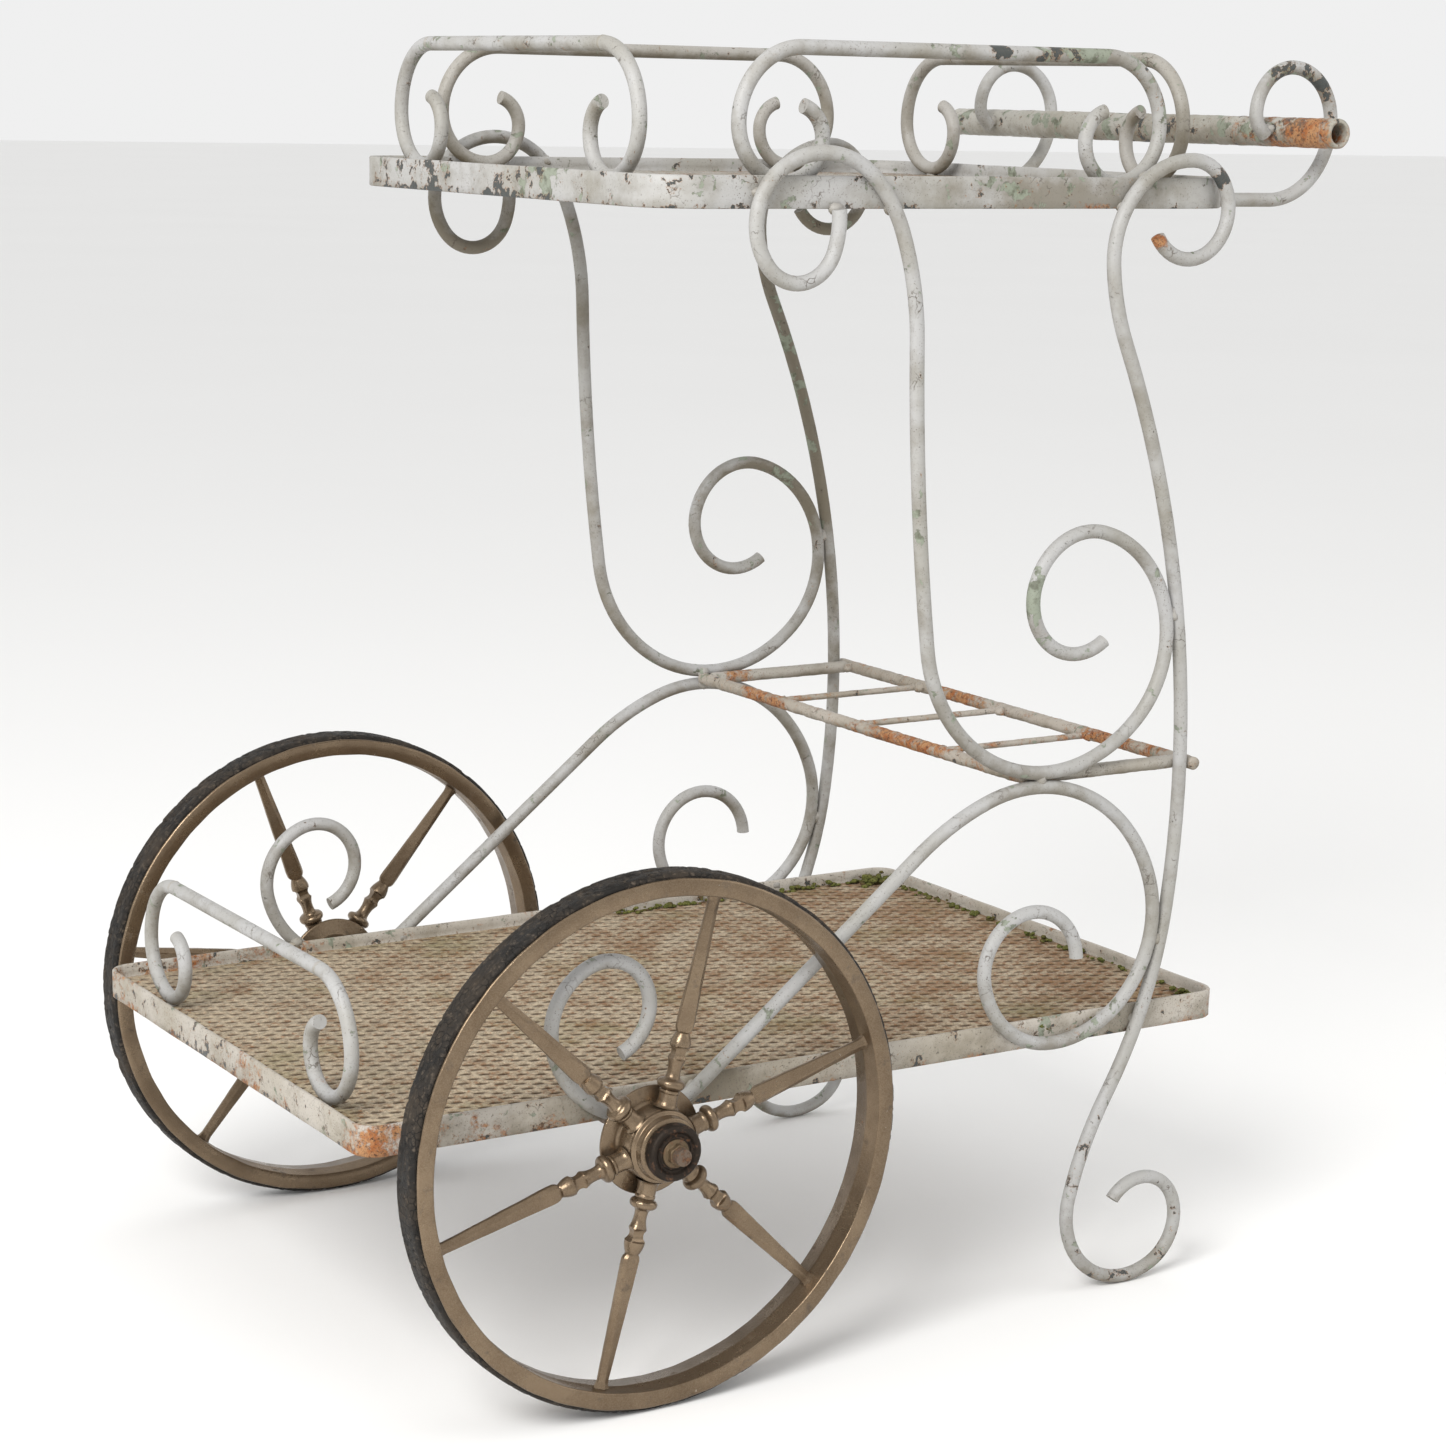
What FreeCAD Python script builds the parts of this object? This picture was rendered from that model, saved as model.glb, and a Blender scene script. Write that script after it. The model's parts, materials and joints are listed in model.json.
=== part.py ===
"""Wrought-iron garden serving cart: two scrolled side frames, a gallery tray,
a mesh shelf, a bottle-height middle frame, a push handle and two spoked wheels.

Millimetres, +Z up. X runs along the cart with the handle at +X and the wheels
at -X, Y runs across it. The origin is on the ground under the middle of the cart.
"""
import FreeCAD
import Part
import math
import os

# ---------------------------------------------------------------- overall sizes
frame_spacing = 432.0        # between the centre planes of the two side frames
wheel_diameter = 352.0       # nominal 14 inch wheels
rod_diameter = 9.5           # 3/8 inch round bar for every scroll
shelf_length = 672.0
tray_length = 456.0
seam = 0.2                   # gap left where two pieces are welded side by side

# ---------------------------------------------------------------- rims and decks
rim_height = 20.0            # upright leg of the rolled angle round each deck
rim_thickness = 3.0
rim_flange = 16.0            # inward leg that carries the mesh
tray_corner_radius = 38.0    # outside corner radii, seen from above
shelf_corner_radius = 16.0
deck_thickness = 1.6
deck_drop = 9.0              # deck surface below the top edge of the rim
shelf_front_overhang = 188.0  # front end of the shelf ahead of the axle
shelf_above_axle = 9.0       # bottom of the shelf rim above the axle centre
tray_front_behind_axle = 9.0

# ---------------------------------------------------------------- axle and wheels
axle_diameter = 11.0
axle_overhang = 61.0         # axle end beyond the plane of each side frame
wheel_bore_clearance = 0.06  # radial running clearance of the hub on the axle
tyre_thickness = 12.0        # rubber from the channel bottom to the tread
tyre_shoulder = 3.0          # rounding of the tread edges
tyre_proud = 3.0             # tread standing above the channel flanges
channel_wall = 2.4
channel_width = 27.0         # steel channel that holds the tyre
hub_radius = 24.0
hub_length = 27.0
hub_off_frame = 5.25         # inner end of the hub beyond the bars of the side frame
hub_nose_radius = 21.0
hub_nose_length = 7.0
hub_plate_radius = 36.0
hub_plate_thickness = 3.0
hub_plate_setback = 7.0      # back plate from the inner end of the hub
channel_setback = 2.0        # channel edge from the inner end of the hub
spoke_setback = 18.0         # spoke centre lines from the inner end of the hub
rivet_radius = 3.6
rivet_head = 2.0
rivet_circle = 30.0
spoke_count = 6
spoke_socket_radius = 6.4
spoke_bead_radius = 9.0
spoke_neck_radius = 4.4
spoke_knuckle_radius = 6.6
spoke_blade_width_hub = 12.0
spoke_blade_width_rim = 7.5
spoke_blade_thickness = 6.0
left_wheel_turn = 16.0       # where the first spoke stands, degrees from +X
right_wheel_turn = 50.0
collar_radius = 9.0
collar_length = 3.4
end_cap_radius = 18.5
end_cap_depth = 8.0
end_cap_lip = 2.5
nut_across_flats = 17.0
nut_thickness = 6.0

# ---------------------------------------------------------------- middle frame
middle_thin_bar_diameter = 4.8
middle_thin_bar_count = 3

# ---------------------------------------------------------------- gallery rails
rail_height = 80.0           # from the resting bend up to the top run
rail_shoulder_share = 0.5625  # part of the height taken by the shoulder bend
rail_end_room = 48.0         # outermost bend of a rail from the end of the tray
rail_curl_radius = 26.0
rail_tip_radius = 20.0
rail_tip_sweep = 75.0
side_rail_inset = 13.0       # rail centre line inside the outer face of the rim
end_rail_inset = 16.0

# ---------------------------------------------------------------- handle
handle_tube_diameter = 20.4
handle_tube_bore = 14.0
handle_tube_past_frame = 4.0  # tube end beyond the plane of each side frame
handle_tube_behind_axle = 538.0
handle_tube_drop = 1.5       # tube centre below the end of the support scroll
handle_support_inset = 56.0  # handle support from the plane of its side frame
handle_support_height = 4.0   # centre line above the bottom edge of the tray rim
handle_support_run = 66.0     # straight run out from the rim
handle_support_rise = 52.0    # radius of the upward bend
handle_support_back = 37.0
handle_support_front = 31.0
handle_support_end = 14.0
handle_support_end_sweep = 50.0

rod_radius = rod_diameter / 2.0
frame_plane = frame_spacing / 2.0
axle_radius = axle_diameter / 2.0
wheel_radius = wheel_diameter / 2.0
axle_height = wheel_radius
rim_half_width = frame_plane - rod_radius - seam - 0.05
touching = rod_diameter + seam
axle_length = frame_spacing + 2.0 * axle_overhang
hub_inner_face = frame_plane + rod_radius + hub_off_frame
hub_outer_face = hub_inner_face + hub_length
hub_plate_offset = hub_inner_face + hub_plate_setback
wheel_offset = hub_inner_face + channel_setback + channel_width / 2.0
spoke_plane = hub_inner_face + spoke_setback
handle_tube_length = frame_spacing + 2.0 * handle_tube_past_frame
handle_support_plane = frame_plane - handle_support_inset
rail_shoulder_radius = rail_height * rail_shoulder_share
rail_cheek_radius = rail_height - rail_shoulder_radius
rail_half_run = min(rim_half_width, tray_length / 2.0) - rail_end_room - rail_shoulder_radius


# =============================================================== bending round bar
def straight(length):
    """A straight run of bar."""
    return (length, 0.0, 0.0)


def left(radius, sweep):
    """An anticlockwise bend seen from the left side of the cart."""
    return (0.0, radius, sweep)


def right(radius, sweep):
    """A clockwise bend."""
    return (0.0, radius, -sweep)


def bend(start_x, start_z, heading, steps):
    """Walk along the bends and give back pieces of a tangent centre line.

    Each piece is (kind, start, end, centre, radius, first angle, sweep)."""
    x = start_x
    z = start_z
    angle = math.radians(heading)
    pieces = []
    for length, radius, sweep in steps:
        if radius == 0.0:
            x_end = x + length * math.cos(angle)
            z_end = z + length * math.sin(angle)
            pieces.append(("run", (x, z), (x_end, z_end), None, 0.0, angle, length))
        else:
            turn = math.radians(sweep)
            side = 1.0 if sweep > 0.0 else -1.0
            centre_x = x - side * radius * math.sin(angle)
            centre_z = z + side * radius * math.cos(angle)
            first = math.atan2(z - centre_z, x - centre_x)
            x_end = centre_x + radius * math.cos(first + turn)
            z_end = centre_z + radius * math.sin(first + turn)
            pieces.append(("arc", (x, z), (x_end, z_end), (centre_x, centre_z), radius, first, turn))
            angle = angle + turn
        x = x_end
        z = z_end
    return pieces


def points_along(pieces, spacing=1.0):
    """Evenly spaced points on a bent centre line."""
    points = []
    for kind, start, end, centre, radius, first, amount in pieces:
        length = amount if kind == "run" else abs(amount) * radius
        count = max(2, int(length / spacing))
        for step in range(count + 1):
            share = step / float(count)
            if kind == "run":
                points.append((start[0] + (end[0] - start[0]) * share,
                               start[1] + (end[1] - start[1]) * share))
            else:
                turn = first + amount * share
                points.append((centre[0] + radius * math.cos(turn),
                               centre[1] + radius * math.sin(turn)))
    return points


def moved(pieces, shift_x, shift_z):
    """The same centre line slid sideways and up."""
    result = []
    for kind, start, end, centre, radius, first, amount in pieces:
        start = (start[0] + shift_x, start[1] + shift_z)
        end = (end[0] + shift_x, end[1] + shift_z)
        if centre is not None:
            centre = (centre[0] + shift_x, centre[1] + shift_z)
        result.append((kind, start, end, centre, radius, first, amount))
    return result


def lowest(pieces):
    """Lowest height of a centre line."""
    return min(z for x, z in points_along(pieces, 0.5))


def nearest_gap(points_a, points_b):
    """Smallest distance between two sets of centre-line points."""
    return min(math.hypot(xa - xb, za - zb) for xa, za in points_a for xb, zb in points_b)


def push_against(pieces, fixed_points, direction_x, direction_z, distance):
    """Slide a centre line until it lies the given distance from fixed points."""
    for attempt in range(12):
        gap = nearest_gap(points_along(pieces, 2.0), fixed_points)
        if abs(gap - distance) < 0.01:
            break
        pieces = moved(pieces, direction_x * (gap - distance), direction_z * (gap - distance))
    return pieces


def wire_of(pieces, y):
    """The centre line as a wire standing in the plane at the given y."""
    edges = []
    for kind, start, end, centre, radius, first, amount in pieces:
        a = FreeCAD.Vector(start[0], y, start[1])
        b = FreeCAD.Vector(end[0], y, end[1])
        if kind == "run":
            edges.append(Part.LineSegment(a, b).toShape())
        else:
            half = first + amount / 2.0
            middle = FreeCAD.Vector(centre[0] + radius * math.cos(half), y,
                                    centre[1] + radius * math.sin(half))
            edges.append(Part.Arc(a, middle, b).toShape())
    return Part.Wire(edges)


def start_heading(pieces):
    """Unit direction of the bar at its first end."""
    kind, start, end, centre, radius, first, amount = pieces[0]
    if kind == "run":
        return (math.cos(first), math.sin(first))
    side = 1.0 if amount > 0.0 else -1.0
    return (-side * math.sin(first), side * math.cos(first))


def bar_along(pieces, y, radius):
    """Round bar bent along the centre line."""
    direction = start_heading(pieces)
    start = pieces[0][1]
    circle = Part.makeCircle(radius, FreeCAD.Vector(start[0], y, start[1]),
                             FreeCAD.Vector(direction[0], 0.0, direction[1]))
    return wire_of(pieces, y).makePipeShell([Part.Wire([circle])], True, False)


# ======================================================================== shapes
def box(x0, x1, y0, y1, z0, z1):
    """A plain block between two corners."""
    return Part.makeBox(x1 - x0, y1 - y0, z1 - z0, FreeCAD.Vector(x0, y0, z0))


def rounded_block(x0, x1, half_width, z0, z1, corner):
    """A flat block with rounded upright corners."""
    block = box(x0, x1, -half_width, half_width, z0, z1)
    upright = [edge for edge in block.Edges
               if abs(edge.Vertexes[0].Point.z - edge.Vertexes[-1].Point.z) > (z1 - z0) * 0.5]
    return block.makeFillet(corner, upright)


def rim_of_angle(x0, x1, z0, corner):
    """Rolled steel angle bent round a deck: upright leg outside, flange inside."""
    inner = rim_half_width - rim_thickness
    lip = rounded_block(x0, x1, rim_half_width, z0, z0 + rim_height, corner)
    inside = rounded_block(x0 + rim_thickness, x1 - rim_thickness, inner,
                           z0 - 1.0, z0 + rim_height + 1.0, corner - rim_thickness)
    flange_top = z0 + rim_height - deck_drop - deck_thickness - 0.1
    flange = rounded_block(x0 + rim_thickness * 0.5, x1 - rim_thickness * 0.5,
                           rim_half_width - rim_thickness * 0.5,
                           flange_top - rim_thickness, flange_top, corner - rim_thickness * 0.5)
    opening = rounded_block(x0 + rim_flange, x1 - rim_flange, rim_half_width - rim_flange,
                            z0 - 1.0, z0 + rim_height + 1.0, max(corner - rim_flange, 4.0))
    return lip.cut(inside).fuse(flange.cut(opening)).removeSplitter()


def deck_plate(x0, x1, z0, corner):
    """The sheet of expanded mesh that lies on the flange inside the rim."""
    edge = rim_thickness + seam
    top = z0 + rim_height - deck_drop
    return rounded_block(x0 + edge, x1 - edge, rim_half_width - edge,
                         top - deck_thickness, top, corner - edge)


def scroll_rail(heading_along_y, centre_x, centre_y, deck_top):
    """C-scroll gallery rail standing on a deck, both ends curled inward.

    A rail along the cart is bent from one bar. A rail across it is a straight
    length with a bent end butt-welded to each end."""
    run = straight(rail_half_run)
    bends = [right(rail_shoulder_radius, 90.0),
             right(rail_cheek_radius, 90.0),
             right(rail_curl_radius, 90.0),
             right(rail_tip_radius, rail_tip_sweep)]
    walk = bend(0.0, 0.0, 0.0, [run] + bends)
    drop = lowest(walk)
    rest = deck_top + seam + rod_radius - drop
    walk = moved(walk, 0.0, rest)
    if heading_along_y:
        length = rail_half_run - seam
        one_side = bar_along(walk[1:], 0.0, rod_radius)
        other_side = one_side.mirror(FreeCAD.Vector(0, 0, 0), FreeCAD.Vector(1, 0, 0))
        middle = Part.makeCylinder(rod_radius, 2.0 * length, FreeCAD.Vector(-length, 0.0, rest),
                                   FreeCAD.Vector(1, 0, 0))
        rail = Part.Compound([middle, one_side, other_side])
        rail.rotate(FreeCAD.Vector(0, 0, 0), FreeCAD.Vector(0, 0, 1), 90.0)
    else:
        one_side = bar_along(walk, 0.0, rod_radius)
        other_side = one_side.mirror(FreeCAD.Vector(0, 0, 0), FreeCAD.Vector(1, 0, 0))
        rail = one_side.fuse(other_side).removeSplitter()
    rail.translate(FreeCAD.Vector(centre_x, centre_y, 0.0))
    return rail


def across(radius, x, z, y0, y1):
    """A round bar lying across the cart."""
    return Part.makeCylinder(radius, y1 - y0, FreeCAD.Vector(x, y0, z), FreeCAD.Vector(0, 1, 0))


def turned(profile, sign, z):
    """A body of revolution about the axle line; profile is (radius, distance) pairs."""
    points = [FreeCAD.Vector(radius, sign * distance, z) for radius, distance in profile]
    points.append(points[0])
    face = Part.Face(Part.makePolygon(points))
    return face.revolve(FreeCAD.Vector(0, 0, z), FreeCAD.Vector(0, 1, 0), 360.0)


# ===================================================================== side frames
# Leg: tight scroll over the tray, long S down the back, open scroll for a foot.
leg_line = bend(388.5, 728.0, -57.5,
                [left(32, 236.5), left(62, 96.5), left(160, 19), right(720, 31.5),
                 right(340, 23.5), left(260, 17.5), left(54, 129.5), left(36, 90),
                 left(32, 115.5)])
leg_line = moved(leg_line, 0.0, rod_radius - lowest(leg_line))
leg_points = points_along(leg_line, 1.0)

# Brace: small curl by the wheel, over the axle, straight up to an arch against
# the leg and round again into a curl in front of the shelf.
brace_line = bend(-14.5, 229.0, 21.0,
                  [left(32, 182), left(43, 80.5), left(68, 115), straight(211), right(195, 18.5),
                   right(110, 92), right(81, 113.5), right(61, 72), right(39, 189)])
saddle = axle_height + axle_radius + rod_radius + seam
saddle_points = [point for point in points_along(brace_line, 0.5) if point[0] < 120.0]
brace_line = moved(brace_line, 0.0, saddle - min(z for x, z in saddle_points))
brace_line = push_against(brace_line, leg_points, 1.0, 0.0, touching)
brace_points = points_along(brace_line, 1.0)

# Tray scroll: hooks over the tray rim, drops straight, swings through a wide U
# that rests on the brace and curls back against the leg.
tray_scroll_line = bend(137.5, 753.0, -84.0,
                        [right(60, 24.5), right(28, 122), right(40, 94), right(55, 81.5),
                         right(93, 23), right(205, 19.5), left(1780, 6.4), left(104, 127),
                         left(77, 120.5), left(46, 89), left(38, 142)])
for settle in range(4):
    tray_scroll_line = push_against(tray_scroll_line, brace_points, 0.0, -1.0, touching)
    tray_scroll_line = push_against(tray_scroll_line, leg_points, 1.0, 0.0, touching)
tray_scroll_points = points_along(tray_scroll_line, 1.0)

arch_top = max(z for x, z in brace_points)
junction_x = min((abs(z - arch_top), x) for x, z in brace_points)[1]
junction_z = arch_top + touching / 2.0

# ==================================================================== tray heights
tray_front = tray_front_behind_axle
tray_back = tray_front + tray_length
tray_floor = tray_scroll_line[0][1][1] + seam
tray_deck_top = tray_floor + rim_height - deck_drop
shelf_front = -shelf_front_overhang
shelf_back = shelf_front + shelf_length
shelf_floor = axle_height + shelf_above_axle
shelf_deck_top = shelf_floor + rim_height - deck_drop
tray_middle = (tray_front + tray_back) / 2.0

solids = {}


def side_name(sign):
    """Name of a side: the left one is at -Y, seen with the handle to the right."""
    return "left" if sign < 0 else "right"


for sign in (-1, 1):
    solids["leg_scroll_" + side_name(sign)] = bar_along(leg_line, sign * frame_plane, rod_radius)
    solids["brace_scroll_" + side_name(sign)] = bar_along(brace_line, sign * frame_plane, rod_radius)
    solids["tray_scroll_" + side_name(sign)] = bar_along(tray_scroll_line, sign * frame_plane,
                                                         rod_radius)

# ================================================================= tray and shelf
solids["tray_rim"] = rim_of_angle(tray_front, tray_back, tray_floor, tray_corner_radius)
solids["tray_deck"] = deck_plate(tray_front, tray_back, tray_floor, tray_corner_radius)
solids["shelf_rim"] = rim_of_angle(shelf_front, shelf_back, shelf_floor, shelf_corner_radius)
solids["shelf_deck"] = deck_plate(shelf_front, shelf_back, shelf_floor, shelf_corner_radius)

side_rail_plane = rim_half_width - side_rail_inset
solids["gallery_rail_front"] = scroll_rail(True, tray_front + end_rail_inset, 0.0, tray_deck_top)
solids["gallery_rail_back"] = scroll_rail(True, tray_back - end_rail_inset, 0.0, tray_deck_top)
solids["gallery_rail_left"] = scroll_rail(False, tray_middle, -side_rail_plane, tray_deck_top)
solids["gallery_rail_right"] = scroll_rail(False, tray_middle, side_rail_plane, tray_deck_top)
solids["shelf_rail_front"] = scroll_rail(True, shelf_front + end_rail_inset, 0.0, shelf_deck_top)

# =================================================================== middle frame
inside_frames = frame_plane - rod_radius - seam
leg_x_at_middle = min((abs(z - junction_z), x) for x, z in leg_points if x > 380.0)[1]
middle_back_x = leg_x_at_middle + touching
solids["middle_bar_front"] = across(rod_radius, junction_x, junction_z,
                                    -inside_frames, inside_frames)
solids["middle_bar_back"] = across(rod_radius, middle_back_x, junction_z,
                                   -frame_plane - rod_radius, frame_plane + rod_radius)
between_start = junction_x + rod_radius + seam
between_end = middle_back_x - rod_radius - seam
for sign in (-1, 1):
    solids["middle_bar_" + side_name(sign)] = Part.makeCylinder(
        rod_radius, between_end - between_start,
        FreeCAD.Vector(between_start, sign * (inside_frames - rod_radius), junction_z),
        FreeCAD.Vector(1, 0, 0))
thin_bars = []
for number in range(middle_thin_bar_count):
    y = -inside_frames + 2.0 * inside_frames * (number + 1) / (middle_thin_bar_count + 1)
    thin_bars.append(Part.makeCylinder(middle_thin_bar_diameter / 2.0, between_end - between_start,
                                       FreeCAD.Vector(between_start, y, junction_z),
                                       FreeCAD.Vector(1, 0, 0)))
solids["middle_thin_bars"] = Part.Compound(thin_bars)

# ========================================================================= handle
support_line = bend(tray_back + seam, tray_floor + handle_support_height, 0.0,
                    [straight(handle_support_run), left(handle_support_rise, 90.0),
                     left(handle_support_back, 90.0), left(handle_support_front, 90.0),
                     left(handle_support_end, handle_support_end_sweep)])
tip_x = support_line[-1][2][0]
tip_z = support_line[-1][2][1]
tip_turn = math.radians(270.0 + handle_support_end_sweep)
tube_height = tip_z - handle_tube_drop
handle_radius = handle_tube_diameter / 2.0
reach = 0.0
while True:
    end_x = tip_x + reach * math.cos(tip_turn)
    end_z = tip_z + reach * math.sin(tip_turn)
    corners = [(end_x + side * rod_radius * math.sin(tip_turn),
                end_z - side * rod_radius * math.cos(tip_turn)) for side in (-1.0, 0.0, 1.0)]
    gap = min(math.hypot(x - handle_tube_behind_axle, z - tube_height) for x, z in corners)
    if gap < handle_radius + seam + 0.1 or reach > 40.0:
        break
    reach = reach + 0.1
support_line = support_line + bend(tip_x, tip_z, 270.0 + handle_support_end_sweep, [straight(reach)])
for sign in (-1, 1):
    solids["handle_support_" + side_name(sign)] = bar_along(
        support_line, sign * handle_support_plane, rod_radius)
tube = across(handle_radius, handle_tube_behind_axle, tube_height,
              -handle_tube_length / 2.0, handle_tube_length / 2.0)
bore = across(handle_tube_bore / 2.0, handle_tube_behind_axle, tube_height,
              -handle_tube_length, handle_tube_length)
solids["handle_tube"] = tube.cut(bore)

# ================================================================ axle and wheels
solids["axle"] = across(axle_radius, 0.0, axle_height, -axle_length / 2.0, axle_length / 2.0)

channel_floor = wheel_radius - tyre_thickness
channel_bore = channel_floor - channel_wall
hub_bore = axle_radius + wheel_bore_clearance
hub_nose_end = hub_outer_face + hub_nose_length


def wheel_hub(sign, turn):
    """Barrel, stepped nose and round back plate with a rivet head between two spokes."""
    barrel = turned([(hub_bore, hub_inner_face), (hub_radius, hub_inner_face),
                     (hub_radius, hub_outer_face), (hub_nose_radius, hub_outer_face),
                     (hub_nose_radius, hub_nose_end), (hub_bore, hub_nose_end)],
                    sign, axle_height)
    plate = turned([(hub_bore, hub_plate_offset), (hub_plate_radius, hub_plate_offset),
                    (hub_plate_radius, hub_plate_offset + hub_plate_thickness),
                    (hub_bore, hub_plate_offset + hub_plate_thickness)], sign, axle_height)
    angle = math.radians(turn - 180.0 / spoke_count)
    face = sign * (hub_plate_offset + hub_plate_thickness)
    rivet = Part.makeCylinder(rivet_radius, rivet_head + 1.0,
                              FreeCAD.Vector(rivet_circle * math.cos(angle), face - sign * 1.0,
                                             axle_height + rivet_circle * math.sin(angle)),
                              FreeCAD.Vector(0, sign, 0))
    return barrel.fuse(plate).fuse(rivet).removeSplitter()


def wheel_channel(sign):
    """Rolled steel channel, flanges outward, that holds the tyre."""
    half = channel_width / 2.0
    flange = wheel_radius - tyre_proud
    return turned([(channel_bore, wheel_offset - half), (flange, wheel_offset - half),
                   (flange, wheel_offset - half + channel_wall),
                   (channel_floor, wheel_offset - half + channel_wall),
                   (channel_floor, wheel_offset + half - channel_wall),
                   (flange, wheel_offset + half - channel_wall),
                   (flange, wheel_offset + half), (channel_bore, wheel_offset + half)],
                  sign, axle_height)


def wheel_tyre(sign):
    """Solid rubber band seated in the channel with rounded tread edges."""
    half = channel_width / 2.0 - channel_wall - seam
    low = channel_floor + seam
    shoulder = wheel_radius - tyre_shoulder
    return turned([(low, wheel_offset - half), (shoulder, wheel_offset - half),
                   (wheel_radius - 0.9, wheel_offset - half + 0.9),
                   (wheel_radius, wheel_offset - half + tyre_shoulder),
                   (wheel_radius, wheel_offset + half - tyre_shoulder),
                   (wheel_radius - 0.9, wheel_offset + half - 0.9),
                   (shoulder, wheel_offset + half), (low, wheel_offset + half)],
                  sign, axle_height)


def one_spoke(sign):
    """A spoke with a turned root and a flat tapered blade, pointing along +X."""
    root = hub_radius + seam
    marks = [(0.0, root), (spoke_socket_radius, root), (spoke_socket_radius, root + 11.0),
             (spoke_bead_radius, root + 12.5), (spoke_bead_radius, root + 18.0),
             (spoke_neck_radius, root + 20.0), (spoke_neck_radius, root + 29.0),
             (spoke_knuckle_radius, root + 34.0), (spoke_knuckle_radius, root + 44.0),
             (spoke_neck_radius, root + 49.0), (0.0, root + 52.0)]
    y = sign * spoke_plane
    points = [FreeCAD.Vector(distance, y, axle_height + radius) for radius, distance in marks]
    points.append(points[0])
    turned_root = Part.Face(Part.makePolygon(points)).revolve(
        FreeCAD.Vector(0, y, axle_height), FreeCAD.Vector(1, 0, 0), 360.0)
    tip = channel_bore - seam
    start = root + 46.0
    blade_points = [FreeCAD.Vector(start, y - spoke_blade_thickness / 2.0,
                                   axle_height - spoke_neck_radius),
                    FreeCAD.Vector(start + 8.0, y - spoke_blade_thickness / 2.0,
                                   axle_height - spoke_blade_width_hub / 2.0),
                    FreeCAD.Vector(tip, y - spoke_blade_thickness / 2.0,
                                   axle_height - spoke_blade_width_rim / 2.0),
                    FreeCAD.Vector(tip, y - spoke_blade_thickness / 2.0,
                                   axle_height + spoke_blade_width_rim / 2.0),
                    FreeCAD.Vector(start + 8.0, y - spoke_blade_thickness / 2.0,
                                   axle_height + spoke_blade_width_hub / 2.0),
                    FreeCAD.Vector(start, y - spoke_blade_thickness / 2.0,
                                   axle_height + spoke_neck_radius)]
    blade_points.append(blade_points[0])
    blade = Part.Face(Part.makePolygon(blade_points)).extrude(
        FreeCAD.Vector(0, spoke_blade_thickness, 0))
    spoke = turned_root.fuse(blade).removeSplitter()
    # the flat blade is trimmed to the curve of the channel it is riveted to
    limit = across(channel_bore - seam, 0.0, axle_height, y - 30.0, y + 30.0)
    return spoke.common(limit)


def wheel_spokes(sign, turn):
    """Six alike spokes round the hub."""
    pattern = one_spoke(sign)
    spokes = []
    for number in range(spoke_count):
        spoke = pattern.copy()
        angle = turn + 360.0 * number / spoke_count
        spoke.rotate(FreeCAD.Vector(0, 0, axle_height), FreeCAD.Vector(0, 1, 0), -angle)
        spokes.append(spoke)
    return Part.Compound(spokes)


for sign, turn in ((-1, left_wheel_turn), (1, right_wheel_turn)):
    solids["wheel_hub_" + side_name(sign)] = wheel_hub(sign, turn)
    solids["wheel_spokes_" + side_name(sign)] = wheel_spokes(sign, turn)
    solids["wheel_channel_" + side_name(sign)] = wheel_channel(sign)
    solids["wheel_tyre_" + side_name(sign)] = wheel_tyre(sign)

# collars inside the hubs, cupped caps and nuts outside them, all fixed on the axle
collars = []
caps = []
nuts = []
cap_start = hub_nose_end + 0.4
cap_end = cap_start + end_cap_depth
nut_start = cap_end - end_cap_lip + seam
for sign in (-1, 1):
    fixed_bore = axle_radius + 0.15
    collar_start = hub_inner_face - 0.4 - collar_length
    collars.append(turned([(fixed_bore, collar_start), (collar_radius, collar_start),
                           (collar_radius, collar_start + collar_length),
                           (fixed_bore, collar_start + collar_length)], sign, axle_height))
    caps.append(turned([(fixed_bore, cap_start), (end_cap_radius, cap_start),
                        (end_cap_radius, cap_end - 2.0), (end_cap_radius - 2.0, cap_end),
                        (nut_across_flats * 0.72, cap_end),
                        (nut_across_flats * 0.72, cap_end - end_cap_lip),
                        (fixed_bore, cap_end - end_cap_lip)], sign, axle_height))
    corner = nut_across_flats / 2.0 / math.cos(math.radians(30.0))
    hexagon = []
    for number in range(7):
        angle = math.radians(60.0 * number)
        hexagon.append(FreeCAD.Vector(corner * math.cos(angle), 0.0, corner * math.sin(angle)))
    nut = Part.Face(Part.makePolygon(hexagon)).extrude(FreeCAD.Vector(0, nut_thickness, 0))
    nut = nut.cut(Part.makeCylinder(fixed_bore, nut_thickness * 3.0,
                                    FreeCAD.Vector(0, -nut_thickness, 0), FreeCAD.Vector(0, 1, 0)))
    if sign < 0:
        nut.translate(FreeCAD.Vector(0.0, -nut_start - nut_thickness, axle_height))
    else:
        nut.translate(FreeCAD.Vector(0.0, nut_start, axle_height))
    nuts.append(nut)
solids["axle_collars"] = Part.Compound(collars)
solids["axle_end_caps"] = Part.Compound(caps)
solids["axle_nuts"] = Part.Compound(nuts)

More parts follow.
